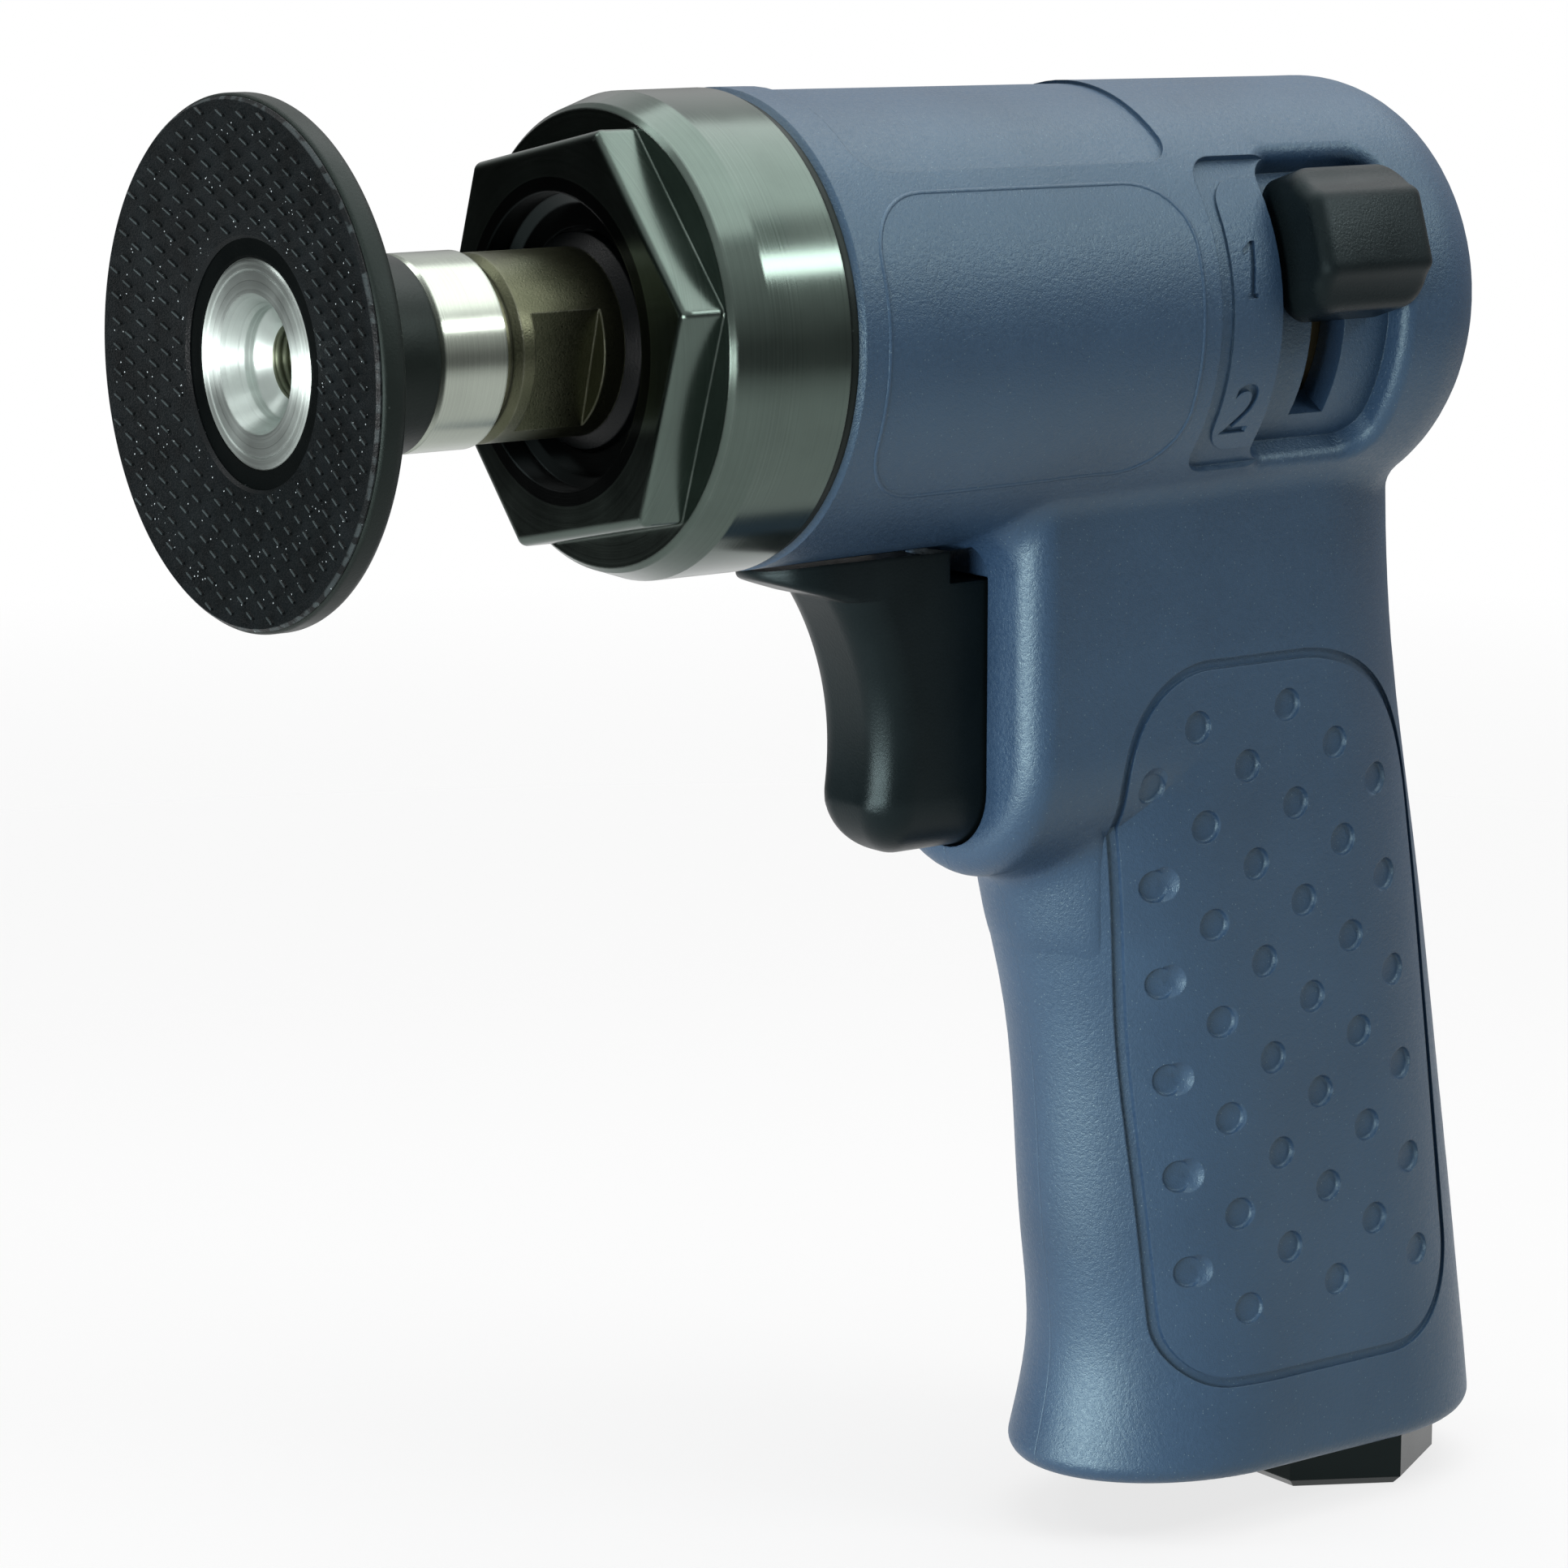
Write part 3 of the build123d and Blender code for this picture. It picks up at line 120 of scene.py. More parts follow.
def remap(tree, value, fromLow, fromHigh, toLow=0.0, toHigh=1.0):
    settings = {"Value": value, "From Min": fromLow, "From Max": fromHigh}
    settings |= {"To Min": toLow, "To Max": toHigh}
    return put(tree, "ShaderNodeMapRange", settings).outputs["Result"]


# Stretches a noise, most of which lies between the two levels
def spread(tree, noise, toLow=0.0, toHigh=1.0, levels=(0.3, 0.7)):
    return remap(tree, noise, *levels, toLow, toHigh)


def maths(tree, operation, first, second=0.0):
    made = put(tree, "ShaderNodeMath", operation=operation)
    plug(tree, made.inputs[0], first)
    plug(tree, made.inputs[1], second)
    return made.outputs[0]


def weighted(tree, first, firstShare, second, secondShare):
    one = maths(tree, "MULTIPLY", first, firstShare)
    two = maths(tree, "MULTIPLY", second, secondShare)
    return maths(tree, "ADD", one, two)


# Small round spots in a share of the cells of a scattered lattice
def specks(tree, point, spacing, radius, share):
    cells = put(tree, "ShaderNodeTexVoronoi", {"Vector": point, "Scale": 1 / spacing})
    core = radius / 2
    spots = remap(tree, cells.outputs["Distance"], radius, core)
    chance = put(tree, "ShaderNodeSeparateColor", {0: cells.outputs["Color"]}).outputs["Red"]
    return maths(tree, "MULTIPLY", spots, maths(tree, "LESS_THAN", chance, share))


def blendColours(tree, amount, low, high):
    ramp = put(tree, "ShaderNodeValToRGB", {"Fac": amount})
    ramp.color_ramp.elements[0].color = (*low, 1)
    ramp.color_ramp.elements[1].color = (*high, 1)
    return ramp.outputs["Color"]


def paintOver(tree, amount, base, colour):
    made = put(tree, "ShaderNodeMix", {0: amount, 6: base, 7: (*colour, 1)}, data_type="RGBA")
    return made.outputs[2]


def bump(tree, height, depth, strength=1.0, over=None):
    inputs = {"Height": height, "Distance": depth, "Strength": strength}
    if over is not None:
        inputs["Normal"] = over
    return put(tree, "ShaderNodeBump", inputs).outputs["Normal"]


def roundedNormal(tree, radius):
    return put(tree, "ShaderNodeBevel", {"Radius": radius}, samples=2).outputs["Normal"]


# How far a point lies on a corner, broken up so that wear looks rubbed
def edgeAmount(tree, radius, noise):
    wear = {"flat": 0.97, "corner": 0.80, "noise": (0.35, 0.65), "least": 0.15}
    soft = roundedNormal(tree, radius)
    flat = put(tree, "ShaderNodeNewGeometry").outputs["Normal"]
    turn = put(tree, "ShaderNodeVectorMath", {0: soft, 1: flat}, operation="DOT_PRODUCT")
    bare = remap(tree, turn.outputs["Value"], wear["flat"], wear["corner"])
    return maths(tree, "MULTIPLY", bare, remap(tree, noise, *wear["noise"], wear["least"], 1.0))


# Distance from the spindle's axis
def axisReach(tree, point):
    flat = put(tree, "ShaderNodeVectorMath", {0: point, 1: (0, 1, 1)}, operation="MULTIPLY")
    reach = put(tree, "ShaderNodeVectorMath", {0: flat.outputs[0]}, operation="LENGTH")
    return reach.outputs["Value"]


# Fine rings left by turning, on round faces and on flat ends
def turnedLines(tree, point, pitch):
    slope = 1.3
    place = weighted(tree, coordinate(tree, point, "X"), slope, axisReach(tree, point), 1.0)
    settings = {"W": place, "Scale": 1 / pitch, "Detail": 3.0, "Roughness": 0.7}
    return put(tree, "ShaderNodeTexNoise", settings, noise_dimensions="1D").outputs["Fac"]


def roundTangent(tree):
    return put(tree, "ShaderNodeTangent", direction_type="RADIAL", axis="X").outputs[0]


# Materials, one function for each family

# Moulded composite: clouded, with painted glints as pale specks, a fine grain and a parting seam
def compositeLook(name):
    look = {
        "deep": (0.016, 0.040, 0.086),
        "light": (0.027, 0.062, 0.122),
        "paleGlint": (0.11, 0.17, 0.21),
        "specks": (0.5 * mm, 0.17, 0.3),
        "sheen": (0.70, 0.96, 1.0, 1),
        "shine": 0.75,
        "rough": (0.36, 0.5),
        "levels": (0.32, 0.68),
        "tone": 16 * mm,
        "grain": 0.42 * mm,
        "pores": 0.14 * mm,
        "grainDepth": 0.11 * mm,
        "edge": 0.22 * mm,
        "seam": 0.07 * mm,
    }
    material, tree, shader = newLook(name)
    point = objectPoint(tree)
    tone = grain(tree, point, look["tone"], detail=4.0)
    fine = grain(tree, point, look["grain"], detail=3.0, roughness=0.6)
    pores = grain(tree, point, look["pores"], detail=1.0)
    mixed = spread(tree, weighted(tree, tone, 0.65, fine, 0.35), levels=look["levels"])
    base = blendColours(tree, mixed, look["deep"], look["light"])
    # Painted glints: pale specks in a share of the cells
    base = paintOver(tree, specks(tree, point, *look["specks"]), base, look["paleGlint"])
    side = coordinate(tree, point, "Y")
    seam = remap(tree, maths(tree, "ABSOLUTE", side), look["seam"], look["seam"] * 2)
    height = weighted(tree, fine, 1.0, pores, 0.5)
    soft = roundedNormal(tree, look["edge"])
    grained = bump(tree, height, look["grainDepth"], strength=0.6, over=soft)
    feed(
        tree,
        shader,
        Base_Color=base,
        Roughness=spread(tree, fine, *look["rough"]),
        Normal=bump(tree, seam, look["grainDepth"], strength=0.5, over=grained),
        Specular_IOR_Level=look["shine"],
        Specular_Tint=look["sheen"],
    )
    return material


def plasticLook(name, rough, edge):
    look = {
        "deep": (0.0030, 0.0054, 0.0062),
        "light": (0.0065, 0.0105, 0.0118),
        "sheen": (0.72, 0.97, 1.0, 1),
        "shine": 0.15,
        "roughSpan": 0.06,
        "grain": 0.28 * mm,
        "tone": 9 * mm,
        "depth": 0.035 * mm,
    }
    material, tree, shader = newLook(name)
    point = objectPoint(tree)
    fine = grain(tree, point, look["grain"], detail=3.0, roughness=0.65)
    tone = grain(tree, point, look["tone"], detail=3.0)
    mixed = spread(tree, weighted(tree, fine, 0.35, tone, 0.65))
    feed(
        tree,
        shader,
        Base_Color=blendColours(tree, mixed, look["deep"], look["light"]),
        Roughness=spread(tree, tone, rough - look["roughSpan"], rough + look["roughSpan"]),
        Normal=bump(tree, fine, look["depth"], strength=0.7, over=roundedNormal(tree, edge)),
        Specular_IOR_Level=look["shine"],
        Specular_Tint=look["sheen"],
    )
    return material


# Turned metal, with painted shade in the hub's bore; worn metal has rubbed corners, painted shade
# in its bores and is painted darker towards the bottom
def turnedLook(name, colour, rough, pitch, depth, stretch, wear=None):
    look = {
        "edge": 0.3 * mm,
        "tone": 6 * mm,
        "dark": 0.84,
        "pale": 1.12,
        "smooth": 0.8,
        "coarse": 1.25,
        "darkFootTop": -108 * mm,
        "darkFootFull": -114 * mm,
        "bore": 16.3 * mm,
        "boreShadeAndDarkFoot": (0.012, 0.016, 0.016),
        "hubBoreShadeReach": 3.75 * mm,
        "hubBoreShade": (0.10, 0.115, 0.08),
    }
    material, tree, shader = newLook(name)
    point = objectPoint(tree)
    tone = grain(tree, point, look["tone"], detail=4.0)
    lines = turnedLines(tree, point, pitch)
    mixed = weighted(tree, tone, 0.5, lines, 0.5)
    dark = tuple(part * look["dark"] for part in colour)
    pale = tuple(min(1.0, part * look["pale"]) for part in colour)
    base = blendColours(tree, spread(tree, mixed), dark, pale)
    if wear:
        base = paintOver(tree, edgeAmount(tree, look["edge"], tone), base, wear)
        # Darker towards the bottom, and painted shade inside the bore
        height = coordinate(tree, point, "Z")
        darkFoot = remap(tree, height, look["darkFootTop"], look["darkFootFull"])
        boreShade = maths(tree, "LESS_THAN", axisReach(tree, point), look["bore"])
        base = paintOver(tree, maths(tree, "MAXIMUM", darkFoot, boreShade), base, look["boreShadeAndDarkFoot"])
    # Painted shade in the hub's bore, near the axis
    hubBoreShade = maths(tree, "LESS_THAN", axisReach(tree, point), look["hubBoreShadeReach"])
    base = paintOver(tree, hubBoreShade, base, look["hubBoreShade"])
    feed(
        tree,
        shader,
        Base_Color=base,
        Metallic=1.0,
        Roughness=spread(tree, mixed, rough * look["smooth"], rough * look["coarse"]),
        Normal=bump(tree, lines, depth, strength=0.5, over=roundedNormal(tree, look["edge"])),
        Anisotropic=stretch,
        Anisotropic_Rotation=0.25,
        Tangent=roundTangent(tree),
    )
    return material


# Brown phosphate coat with a blasted grain, and a black lip where the spindle enters the nut
def spindleLook(name):
    look = {
        "deep": (0.066, 0.072, 0.044),
        "light": (0.112, 0.118, 0.076),
        "worn": (0.26, 0.27, 0.21),
        "levels": (0.32, 0.68),
        "rough": (0.27, 0.4),
        "metal": 0.95,
        "shine": 0.16,
        "lip": (0.004, 0.0055, 0.006),
        "lipX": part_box("clamp_nut")[0].x + 1.75 * mm,
        "lipFade": 0.15 * mm,
        "tone": 5 * mm,
        "blast": 0.22 * mm,
        "blastDepth": 0.04 * mm,
        "edge": 0.3 * mm,
    }
    material, tree, shader = newLook(name)
    point = objectPoint(tree)
    tone = grain(tree, point, look["tone"], detail=4.0)
    blast = grain(tree, point, look["blast"], detail=3.0, roughness=0.6)
    along = coordinate(tree, point, "X")
    lip = remap(tree, along, look["lipX"], look["lipX"] + look["lipFade"])
    mixed = spread(tree, weighted(tree, tone, 0.6, blast, 0.4), levels=look["levels"])
    base = blendColours(tree, mixed, look["deep"], look["light"])
    base = paintOver(tree, edgeAmount(tree, look["edge"], tone), base, look["worn"])
    soft = roundedNormal(tree, look["edge"])
    feed(
        tree,
        shader,
        Base_Color=paintOver(tree, lip, base, look["lip"]),
        Metallic=remap(tree, lip, 0.0, 1.0, look["metal"], 0.0),
        Roughness=spread(tree, blast, *look["rough"]),
        Normal=bump(tree, blast, look["blastDepth"], strength=0.7, over=soft),
        Specular_IOR_Level=look["shine"],
    )
    return material


# Black rubber with a little dust, and painted shade that makes the well round the hub blacker
def rubberLook(name, rough=0.42):
    look = {
        "deep": (0.0045, 0.0065, 0.0058),
        "light": (0.0095, 0.013, 0.0115),
        "grain": 0.3 * mm,
        "tone": 7 * mm,
        "depth": 0.03 * mm,
        "edge": 0.4 * mm,
        "dust": (0.04, 0.05, 0.047),
        "specks": (1.3 * mm, 0.1, 0.2),
        "sheen": (0.78, 1.0, 0.93, 1),
        "shine": 0.2,
        "roughSpan": 0.07,
        "wellShadeReach": 12 * mm,
        "wellShadeBack": 3.2 * mm,
        "well": (0.0011, 0.0016, 0.0017),
        "wellShadeShine": 0.05,
    }
    material, tree, shader = newLook(name)
    point = objectPoint(tree)
    tone = grain(tree, point, look["tone"], detail=4.0)
    fine = grain(tree, point, look["grain"], detail=2.0)
    base = blendColours(tree, spread(tree, tone), look["deep"], look["light"])
    base = paintOver(tree, specks(tree, point, *look["specks"]), base, look["dust"])
    along = coordinate(tree, point, "X")
    # Painted shade in the well round the hub: a blacker colour and less shine
    well = maths(tree, "LESS_THAN", axisReach(tree, point), look["wellShadeReach"])
    well = maths(tree, "MULTIPLY", well, maths(tree, "LESS_THAN", along, look["wellShadeBack"]))
    soft = roundedNormal(tree, look["edge"])
    feed(
        tree,
        shader,
        Base_Color=paintOver(tree, well, base, look["well"]),
        Roughness=spread(tree, tone, rough - look["roughSpan"], rough + look["roughSpan"]),
        Normal=bump(tree, fine, look["depth"], strength=0.6, over=soft),
        Specular_IOR_Level=remap(tree, well, 0.0, 1.0, look["shine"], look["wellShadeShine"]),
        Specular_Tint=look["sheen"],
    )
    return material


# Black gripping face: painted highlights on the crests and the rim, and painted glints as bright
# specks
def facingLook(name):
    low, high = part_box("pad_facing")
    look = {
        "deep": (0.0014, 0.0023, 0.0026),
        "light": (0.0042, 0.0062, 0.007),
        "crestHighlight": (0.036, 0.047, 0.049),
        "brightGlint": (0.42, 0.48, 0.50),
        "specks": (0.62 * mm, 0.15, 0.24),
        "grain": 0.18 * mm,
        "tone": 4 * mm,
        "rimGlintGrain": 1.4 * mm,
        "rimGlintLevels": (0.48, 0.56),
        "highlightLevels": (0.25, 0.6),
        "leastHighlight": 0.4,
        "roughLevels": (0.35, 0.65),
        "rough": (0.3, 0.5),
        "shine": 0.14,
        "crestDepth": 0.05 * mm,
        "rim": 0.4 * mm,
        "depth": 0.06 * mm,
    }
    material, tree, shader = newLook(name)
    point = objectPoint(tree)
    fine = grain(tree, point, look["grain"], detail=2.0)
    tone = grain(tree, point, look["tone"], detail=3.0)
    along = coordinate(tree, point, "X")
    sunk = remap(tree, axisReach(tree, point), dish["well"], dish["rim"], dish["depth"], 0.0)
    level = maths(tree, "SUBTRACT", along, sunk)
    # Painted highlights: a paler colour on the rib crests and a broken painted glint along the rim
    crestHighlight = remap(tree, level, low.x + look["crestDepth"] * 2, low.x + look["crestDepth"])
    rim = remap(tree, axisReach(tree, point), high.z - look["rim"], high.z - look["rim"] / 2)
    broken = remap(tree, grain(tree, point, look["rimGlintGrain"], detail=2.0), *look["rimGlintLevels"])
    paintedHighlights = maths(tree, "MAXIMUM", crestHighlight, maths(tree, "MULTIPLY", rim, broken))
    patchy = remap(tree, tone, *look["highlightLevels"], look["leastHighlight"], 1.0)
    paintedHighlights = maths(tree, "MULTIPLY", paintedHighlights, patchy)
    base = blendColours(tree, spread(tree, tone), look["deep"], look["light"])
    base = paintOver(tree, paintedHighlights, base, look["crestHighlight"])
    feed(
        tree,
        shader,
        # Painted glints: bright specks
        Base_Color=paintOver(tree, specks(tree, point, *look["specks"]), base, look["brightGlint"]),
        Roughness=spread(tree, fine, *look["rough"], look["roughLevels"]),
        Normal=bump(tree, fine, look["depth"], strength=0.7),
        Specular_IOR_Level=look["shine"],
    )
    return material


def laminateLook(name):
    look = {
        "deep": (0.14, 0.05, 0.02),
        "light": (0.22, 0.09, 0.04),
        "weave": 900.0,
        "sway": 1.5,
        "depth": 0.02 * mm,
        "rough": 0.45,
    }
    material, tree, shader = newLook(name)
    settings = {"Vector": objectPoint(tree), "Scale": look["weave"], "Distortion": look["sway"]}
    weave = put(tree, "ShaderNodeTexWave", settings).outputs["Fac"]
    feed(
        tree,
        shader,
        Base_Color=blendColours(tree, weave, look["deep"], look["light"]),
        Roughness=look["rough"],
        Normal=bump(tree, weave, look["depth"], strength=0.5),
    )
    return material


def feltLook(name):
    look = {
        "deep": (0.20, 0.20, 0.19),
        "light": (0.42, 0.41, 0.38),
        "fibre": 0.5 * mm,
        "depth": 0.3 * mm,
        "rough": 0.9,
    }
    material, tree, shader = newLook(name)
    fibre = grain(tree, objectPoint(tree), look["fibre"], detail=6.0, roughness=0.75)
    feed(
        tree,
        shader,
        Base_Color=blendColours(tree, fibre, look["deep"], look["light"]),
        Roughness=look["rough"],
        Normal=bump(tree, fibre, look["depth"], strength=0.8),
    )
    return material


# Colour, roughness, pitch and depth of the lines, stretch of the highlight, worn colour
turnedMetals = {
    "turned_aluminium": ((0.46, 0.52, 0.495), 0.43, 0.5 * mm, 0.05 * mm, 0.85),
    "bright_steel": ((0.34, 0.375, 0.325), 0.22, 0.2 * mm, 0.006 * mm, 0.5),
    "black_oxide": ((0.085, 0.112, 0.098), 0.19, 0.3 * mm, 0.005 * mm, 0.5, (0.20, 0.24, 0.22)),
    "motor_iron": ((0.30, 0.29, 0.28), 0.4, 0.4 * mm, 0.01 * mm, 0.3),
    "ground_steel": ((0.56, 0.56, 0.55), 0.22, 0.12 * mm, 0.004 * mm, 0.4),
    "bearing_steel": ((0.66, 0.66, 0.66), 0.12, 0.1 * mm, 0.002 * mm, 0.2),
    "valve_brass": ((0.11, 0.085, 0.045), 0.36, 0.2 * mm, 0.006 * mm, 0.4),
}
looks = {name: turnedLook(name, *metal) for name, metal in turnedMetals.items()}
looks |= {
    "pad_rubber": rubberLook("pad_rubber"),
    "pad_facing": facingLook("pad_facing"),
    "phosphate_steel": spindleLook("phosphate_steel"),
    "housing_composite": compositeLook("housing_composite"),
    "trigger_plastic": plasticLook("trigger_plastic", rough=0.33, edge=0.6 * mm),
    "knob_plastic": plasticLook("knob_plastic", rough=0.27, edge=1.3 * mm),
    "cover_plastic": plasticLook("cover_plastic", rough=0.45, edge=0.4 * mm),
    "seal_rubber": rubberLook("seal_rubber", rough=0.4),
    "vane_laminate": laminateLook("vane_laminate"),
    "muffler_felt": feltLook("muffler_felt"),
}
slotOf = {piece["node"]: piece["material_slot"] for piece in frame["record"]["subparts"]}
print("materials made:", len(looks))


def dress(obj, slotName, body=None):
    obj.data.materials.clear()
    obj.data.materials.append(looks[slotName])
    if body:
        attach(obj, body)


# Joins the patches of a node, so that blended faces shade as one
def joinPatches(obj):
    weld = obj.modifiers.new("weld", "WELD")
    weld.merge_threshold = joinGap


# Keeps real corners sharp
def keepCorners(obj):
    cornerAngle = math.radians(24)
    split = obj.modifiers.new("corners", "EDGE_SPLIT")
    split.split_angle = cornerAngle


# Mesh builders
def meshObject(name, form, sharp=30):
    mesh = bpy.data.meshes.new(name)
    form.normal_update()
    form.to_mesh(mesh)
    form.free()
    mesh.shade_smooth()
    mesh.set_sharp_from_angle(angle=math.radians(sharp))
    obj = bpy.data.objects.new(name, mesh)
    bpy.context.scene.collection.objects.link(obj)
    return obj


def spun(x, reach, turn):
    return Vector((x, -reach * math.cos(turn), reach * math.sin(turn)))


def joinRows(form, pairs):
    for first, second in pairs:
        for k in range(len(first)):
            after = (k + 1) % len(first)
            form.faces.new((first[k], first[after], second[after], second[k]))


# Faces between closed rows of points, with an end face on the first and the last
def bridge(form, rows):
    form.faces.new(rows[0])
    form.faces.new(rows[-1])
    joinRows(form, zip(rows, rows[1:]))
    bmesh.ops.recalc_face_normals(form, faces=form.faces)


# The same in a ring: the last row is joined to the first, and there are no end faces
def bridgeRound(form, rows):
    joinRows(form, zip(rows, rows[1:] + rows[:1]))
    bmesh.ops.recalc_face_normals(form, faces=form.faces)


def spin(form, profile, steps):
    turns = [math.tau * k / steps for k in range(steps)]
    rings = [[form.verts.new(spun(x, reach, turn)) for turn in turns] for x, reach in profile]
    bridgeRound(form, rings)


# Points of an arc that rounds a corner of a profile
def rounded(start, corner, end, radius, steps=6):
    start, corner, end = Vector(start), Vector(corner), Vector(end)
    one, two = (start - corner).normalized(), (end - corner).normalized()
    half = one.angle(two) / 2
    middle = corner + (one + two).normalized() * (radius / math.sin(half))
    first = corner + one * (radius / math.tan(half)) - middle
    last = corner + two * (radius / math.tan(half)) - middle
    points = []
    for k in range(steps + 1):
        points.append(tuple(middle + first.slerp(last, k / steps).normalized() * radius))
    return points


# How deep the gripping face has sunk at a reach from the axis
def sunkAt(reach):
    return dish["depth"] * (dish["rim"] - reach) / (dish["rim"] - dish["well"])


# Sizes of the hub, which the rubber follows; a cone's depth and radius are in millimetres
hub = {
    "front": 2.5 * mm,
    "reach": 10.15 * mm,
    "edge": 0.3 * mm,
    "line": 0.1 * mm,
    "lineReach": 8.95 * mm,
    "cones": ((2.55, 6.75), (4.7, 5.55), (5.7, 5.4), (6.8, 3.7)),
    "bore": 3.62 * mm,
    "core": 6.9 * mm,
    "back": 6.5 * mm,
    "end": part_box("pad_hub")[1].x,
    "steps": 192,
}


# Aluminium hub: a flat turned ring, a steep cone into the well and a shallow one to the bore
def makeHub():
    front, reach, edge = hub["front"], hub["reach"], hub["edge"]
    line, lineReach = hub["line"], hub["lineReach"]
    cones = [(x * mm, r * mm) for x, r in hub["cones"]]
    profile = [(front + edge, reach), (front, reach - edge), (front, lineReach + line)]
    profile += [(front + line, lineReach), (front + line / 2, lineReach - line)]
    profile += cones
    profile += [(cones[-1][0] + line, hub["bore"]), (hub["end"], hub["bore"])]
    profile += [(hub["end"], hub["core"]), (hub["back"], hub["core"]), (hub["back"], reach)]
    form = bmesh.new()
    spin(form, profile, hub["steps"])
    obj = meshObject("hub_turned", form, sharp=20)
    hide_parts("pad_hub")
    dress(obj, "turned_aluminium", "spindle")


# Rubber body of the pad, turned about the spindle with soft edges
def makePad():
    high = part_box("backing_pad")[1]
    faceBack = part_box("pad_facing")[1].x
    pad = {
        "steps": 192,
        "neckRoot": 10.4 * mm,
        "neckRootX": 10.8 * mm,
        "neck": 9.8 * mm,
        "rimBack": 3.3 * mm,
        "lipRound": 0.35 * mm,
        "backRound": 1.1 * mm,
        "neckRound": 0.35 * mm,
        "hubGap": 0.1 * mm,
        "hubOverlap": 0.5 * mm,
        "pull": 0.42,
        "rimWay": Vector((0.48, -0.88)),
        "neckWay": Vector((1, -0.08)),
        "curveSteps": 16,
        "curveTaken": 3,
    }
    reach, hubReach, inside = high.z, hub["reach"], hub["core"]
    start = Vector((pad["rimBack"], reach))
    end = Vector((pad["neckRootX"], pad["neckRoot"]))
    pull = (end - start).length * pad["pull"]
    pullOut, pullIn = start + pad["rimWay"] * pull, end - pad["neckWay"] * pull
    back = []
    for k in range(pad["curveSteps"] + 1):
        t = k / pad["curveSteps"]
        s = 1 - t
        outer = start * s**3 + pullOut * 3 * s * s * t
        back.append(tuple(outer + pullIn * 3 * s * t * t + end * t**3))
    wellLip = (faceBack + dish["depth"], dish["well"])
    frontRim, backRim = (faceBack, reach), (pad["rimBack"], reach)
    hubEdge = (hub["front"] + pad["hubGap"], hubReach)
    neckEnd, innerEnd = (high.x, pad["neck"]), (high.x, inside)
    profile = [(hub["front"] + pad["hubOverlap"], hubReach), hubEdge, wellLip]
    profile += rounded(wellLip, frontRim, backRim, pad["lipRound"])
    profile += rounded(frontRim, backRim, back[1], pad["backRound"])
    profile += back[pad["curveTaken"] :]
    profile += rounded(back[-1], neckEnd, innerEnd, pad["neckRound"])
    profile += [innerEnd, (hub["back"], inside), (hub["back"], hubReach)]
    form = bmesh.new()
    spin(form, profile, pad["steps"])
    obj = meshObject("pad_body", form, sharp=35)
    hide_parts("backing_pad")
    dress(obj, "pad_rubber", "spindle")


# Gripping face: a thin ring with short slanting ribs in a staggered lattice
def makeFacing():
    low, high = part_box("pad_facing")
    face = {
        "sink": 0.32 * mm,
        "edge": 0.3 * mm,
        "steps": 192,
        "pitchAlong": 3.78 * mm,
        "shiftAlong": 1.89 * mm,
        "pitchDown": 1.25 * mm,
        "slant": math.radians(-27),
        "ribLong": 1.45 * mm,
        "ribWide": 0.46 * mm,
        "ribTop": 0.17 * mm,
        "ribTaper": 0.9,
        "ribOutline": ((-1, 0), (-0.8, -1), (0.8, -1), (1, 0), (0.8, 1), (-0.8, 1)),
        "margin": 0.25 * mm,
    }
    reach, bore = high.z, dish["well"]
    floorX = low.x + face["sink"]
    form = bmesh.new()
    profile = [(high.x, bore), (floorX + face["sink"], bore), (floorX, bore + face["edge"])]
    profile += [(floorX, reach - face["edge"]), (floorX + face["sink"], reach), (high.x, reach)]
    spin(form, [(x + sunkAt(r), r) for x, r in profile], face["steps"])
    along = Vector((math.cos(face["slant"]), math.sin(face["slant"])))
    across = Vector((-along.y, along.x))
    clear = face["margin"] + face["ribLong"] / 2
    rows = int(reach / face["pitchDown"]) + 1
    columns = int(reach / face["pitchAlong"]) + 1
    for row in range(-rows, rows + 1):
        shift = (row % 2) * face["shiftAlong"]
        for column in range(-columns, columns + 1):
            middle = Vector((column * face["pitchAlong"] + shift, row * face["pitchDown"]))
            if not bore + clear < middle.length < reach - clear:
                continue
            feet, tops = [], []
            for u, v in face["ribOutline"]:
                length = along * u * face["ribLong"] / 2
                foot = middle + length + across * v * face["ribWide"] / 2
                top = middle + length * face["ribTaper"] + across * v * face["ribTop"] / 2
                footX = floorX + face["sink"] / 2 + sunkAt(foot.length)
                feet.append(form.verts.new((footX, -foot.x, foot.y)))
                tops.append(form.verts.new((low.x + sunkAt(top.length), -top.x, top.y)))
            form.faces.new(tops)
            form.faces.new(list(reversed(feet)))
            joinRows(form, [(feet, tops)])
    bmesh.ops.recalc_face_normals(form, faces=form.faces)
    obj = meshObject("pad_grip_face", form, sharp=20)
    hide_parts("pad_facing")
    dress(obj, "pad_facing", "spindle")


# The two hexagon pieces keep their patches apart
crispNodes = ("clamp_nut", "inlet_bushing")
for nodeName, node in nodes.items():
    dress(node, slotOf[nodeName])
    node.data.shade_smooth()
    if nodeName not in crispNodes:
        joinPatches(node)
makeHub()
makePad()
makeFacing()
print("pad modelled")


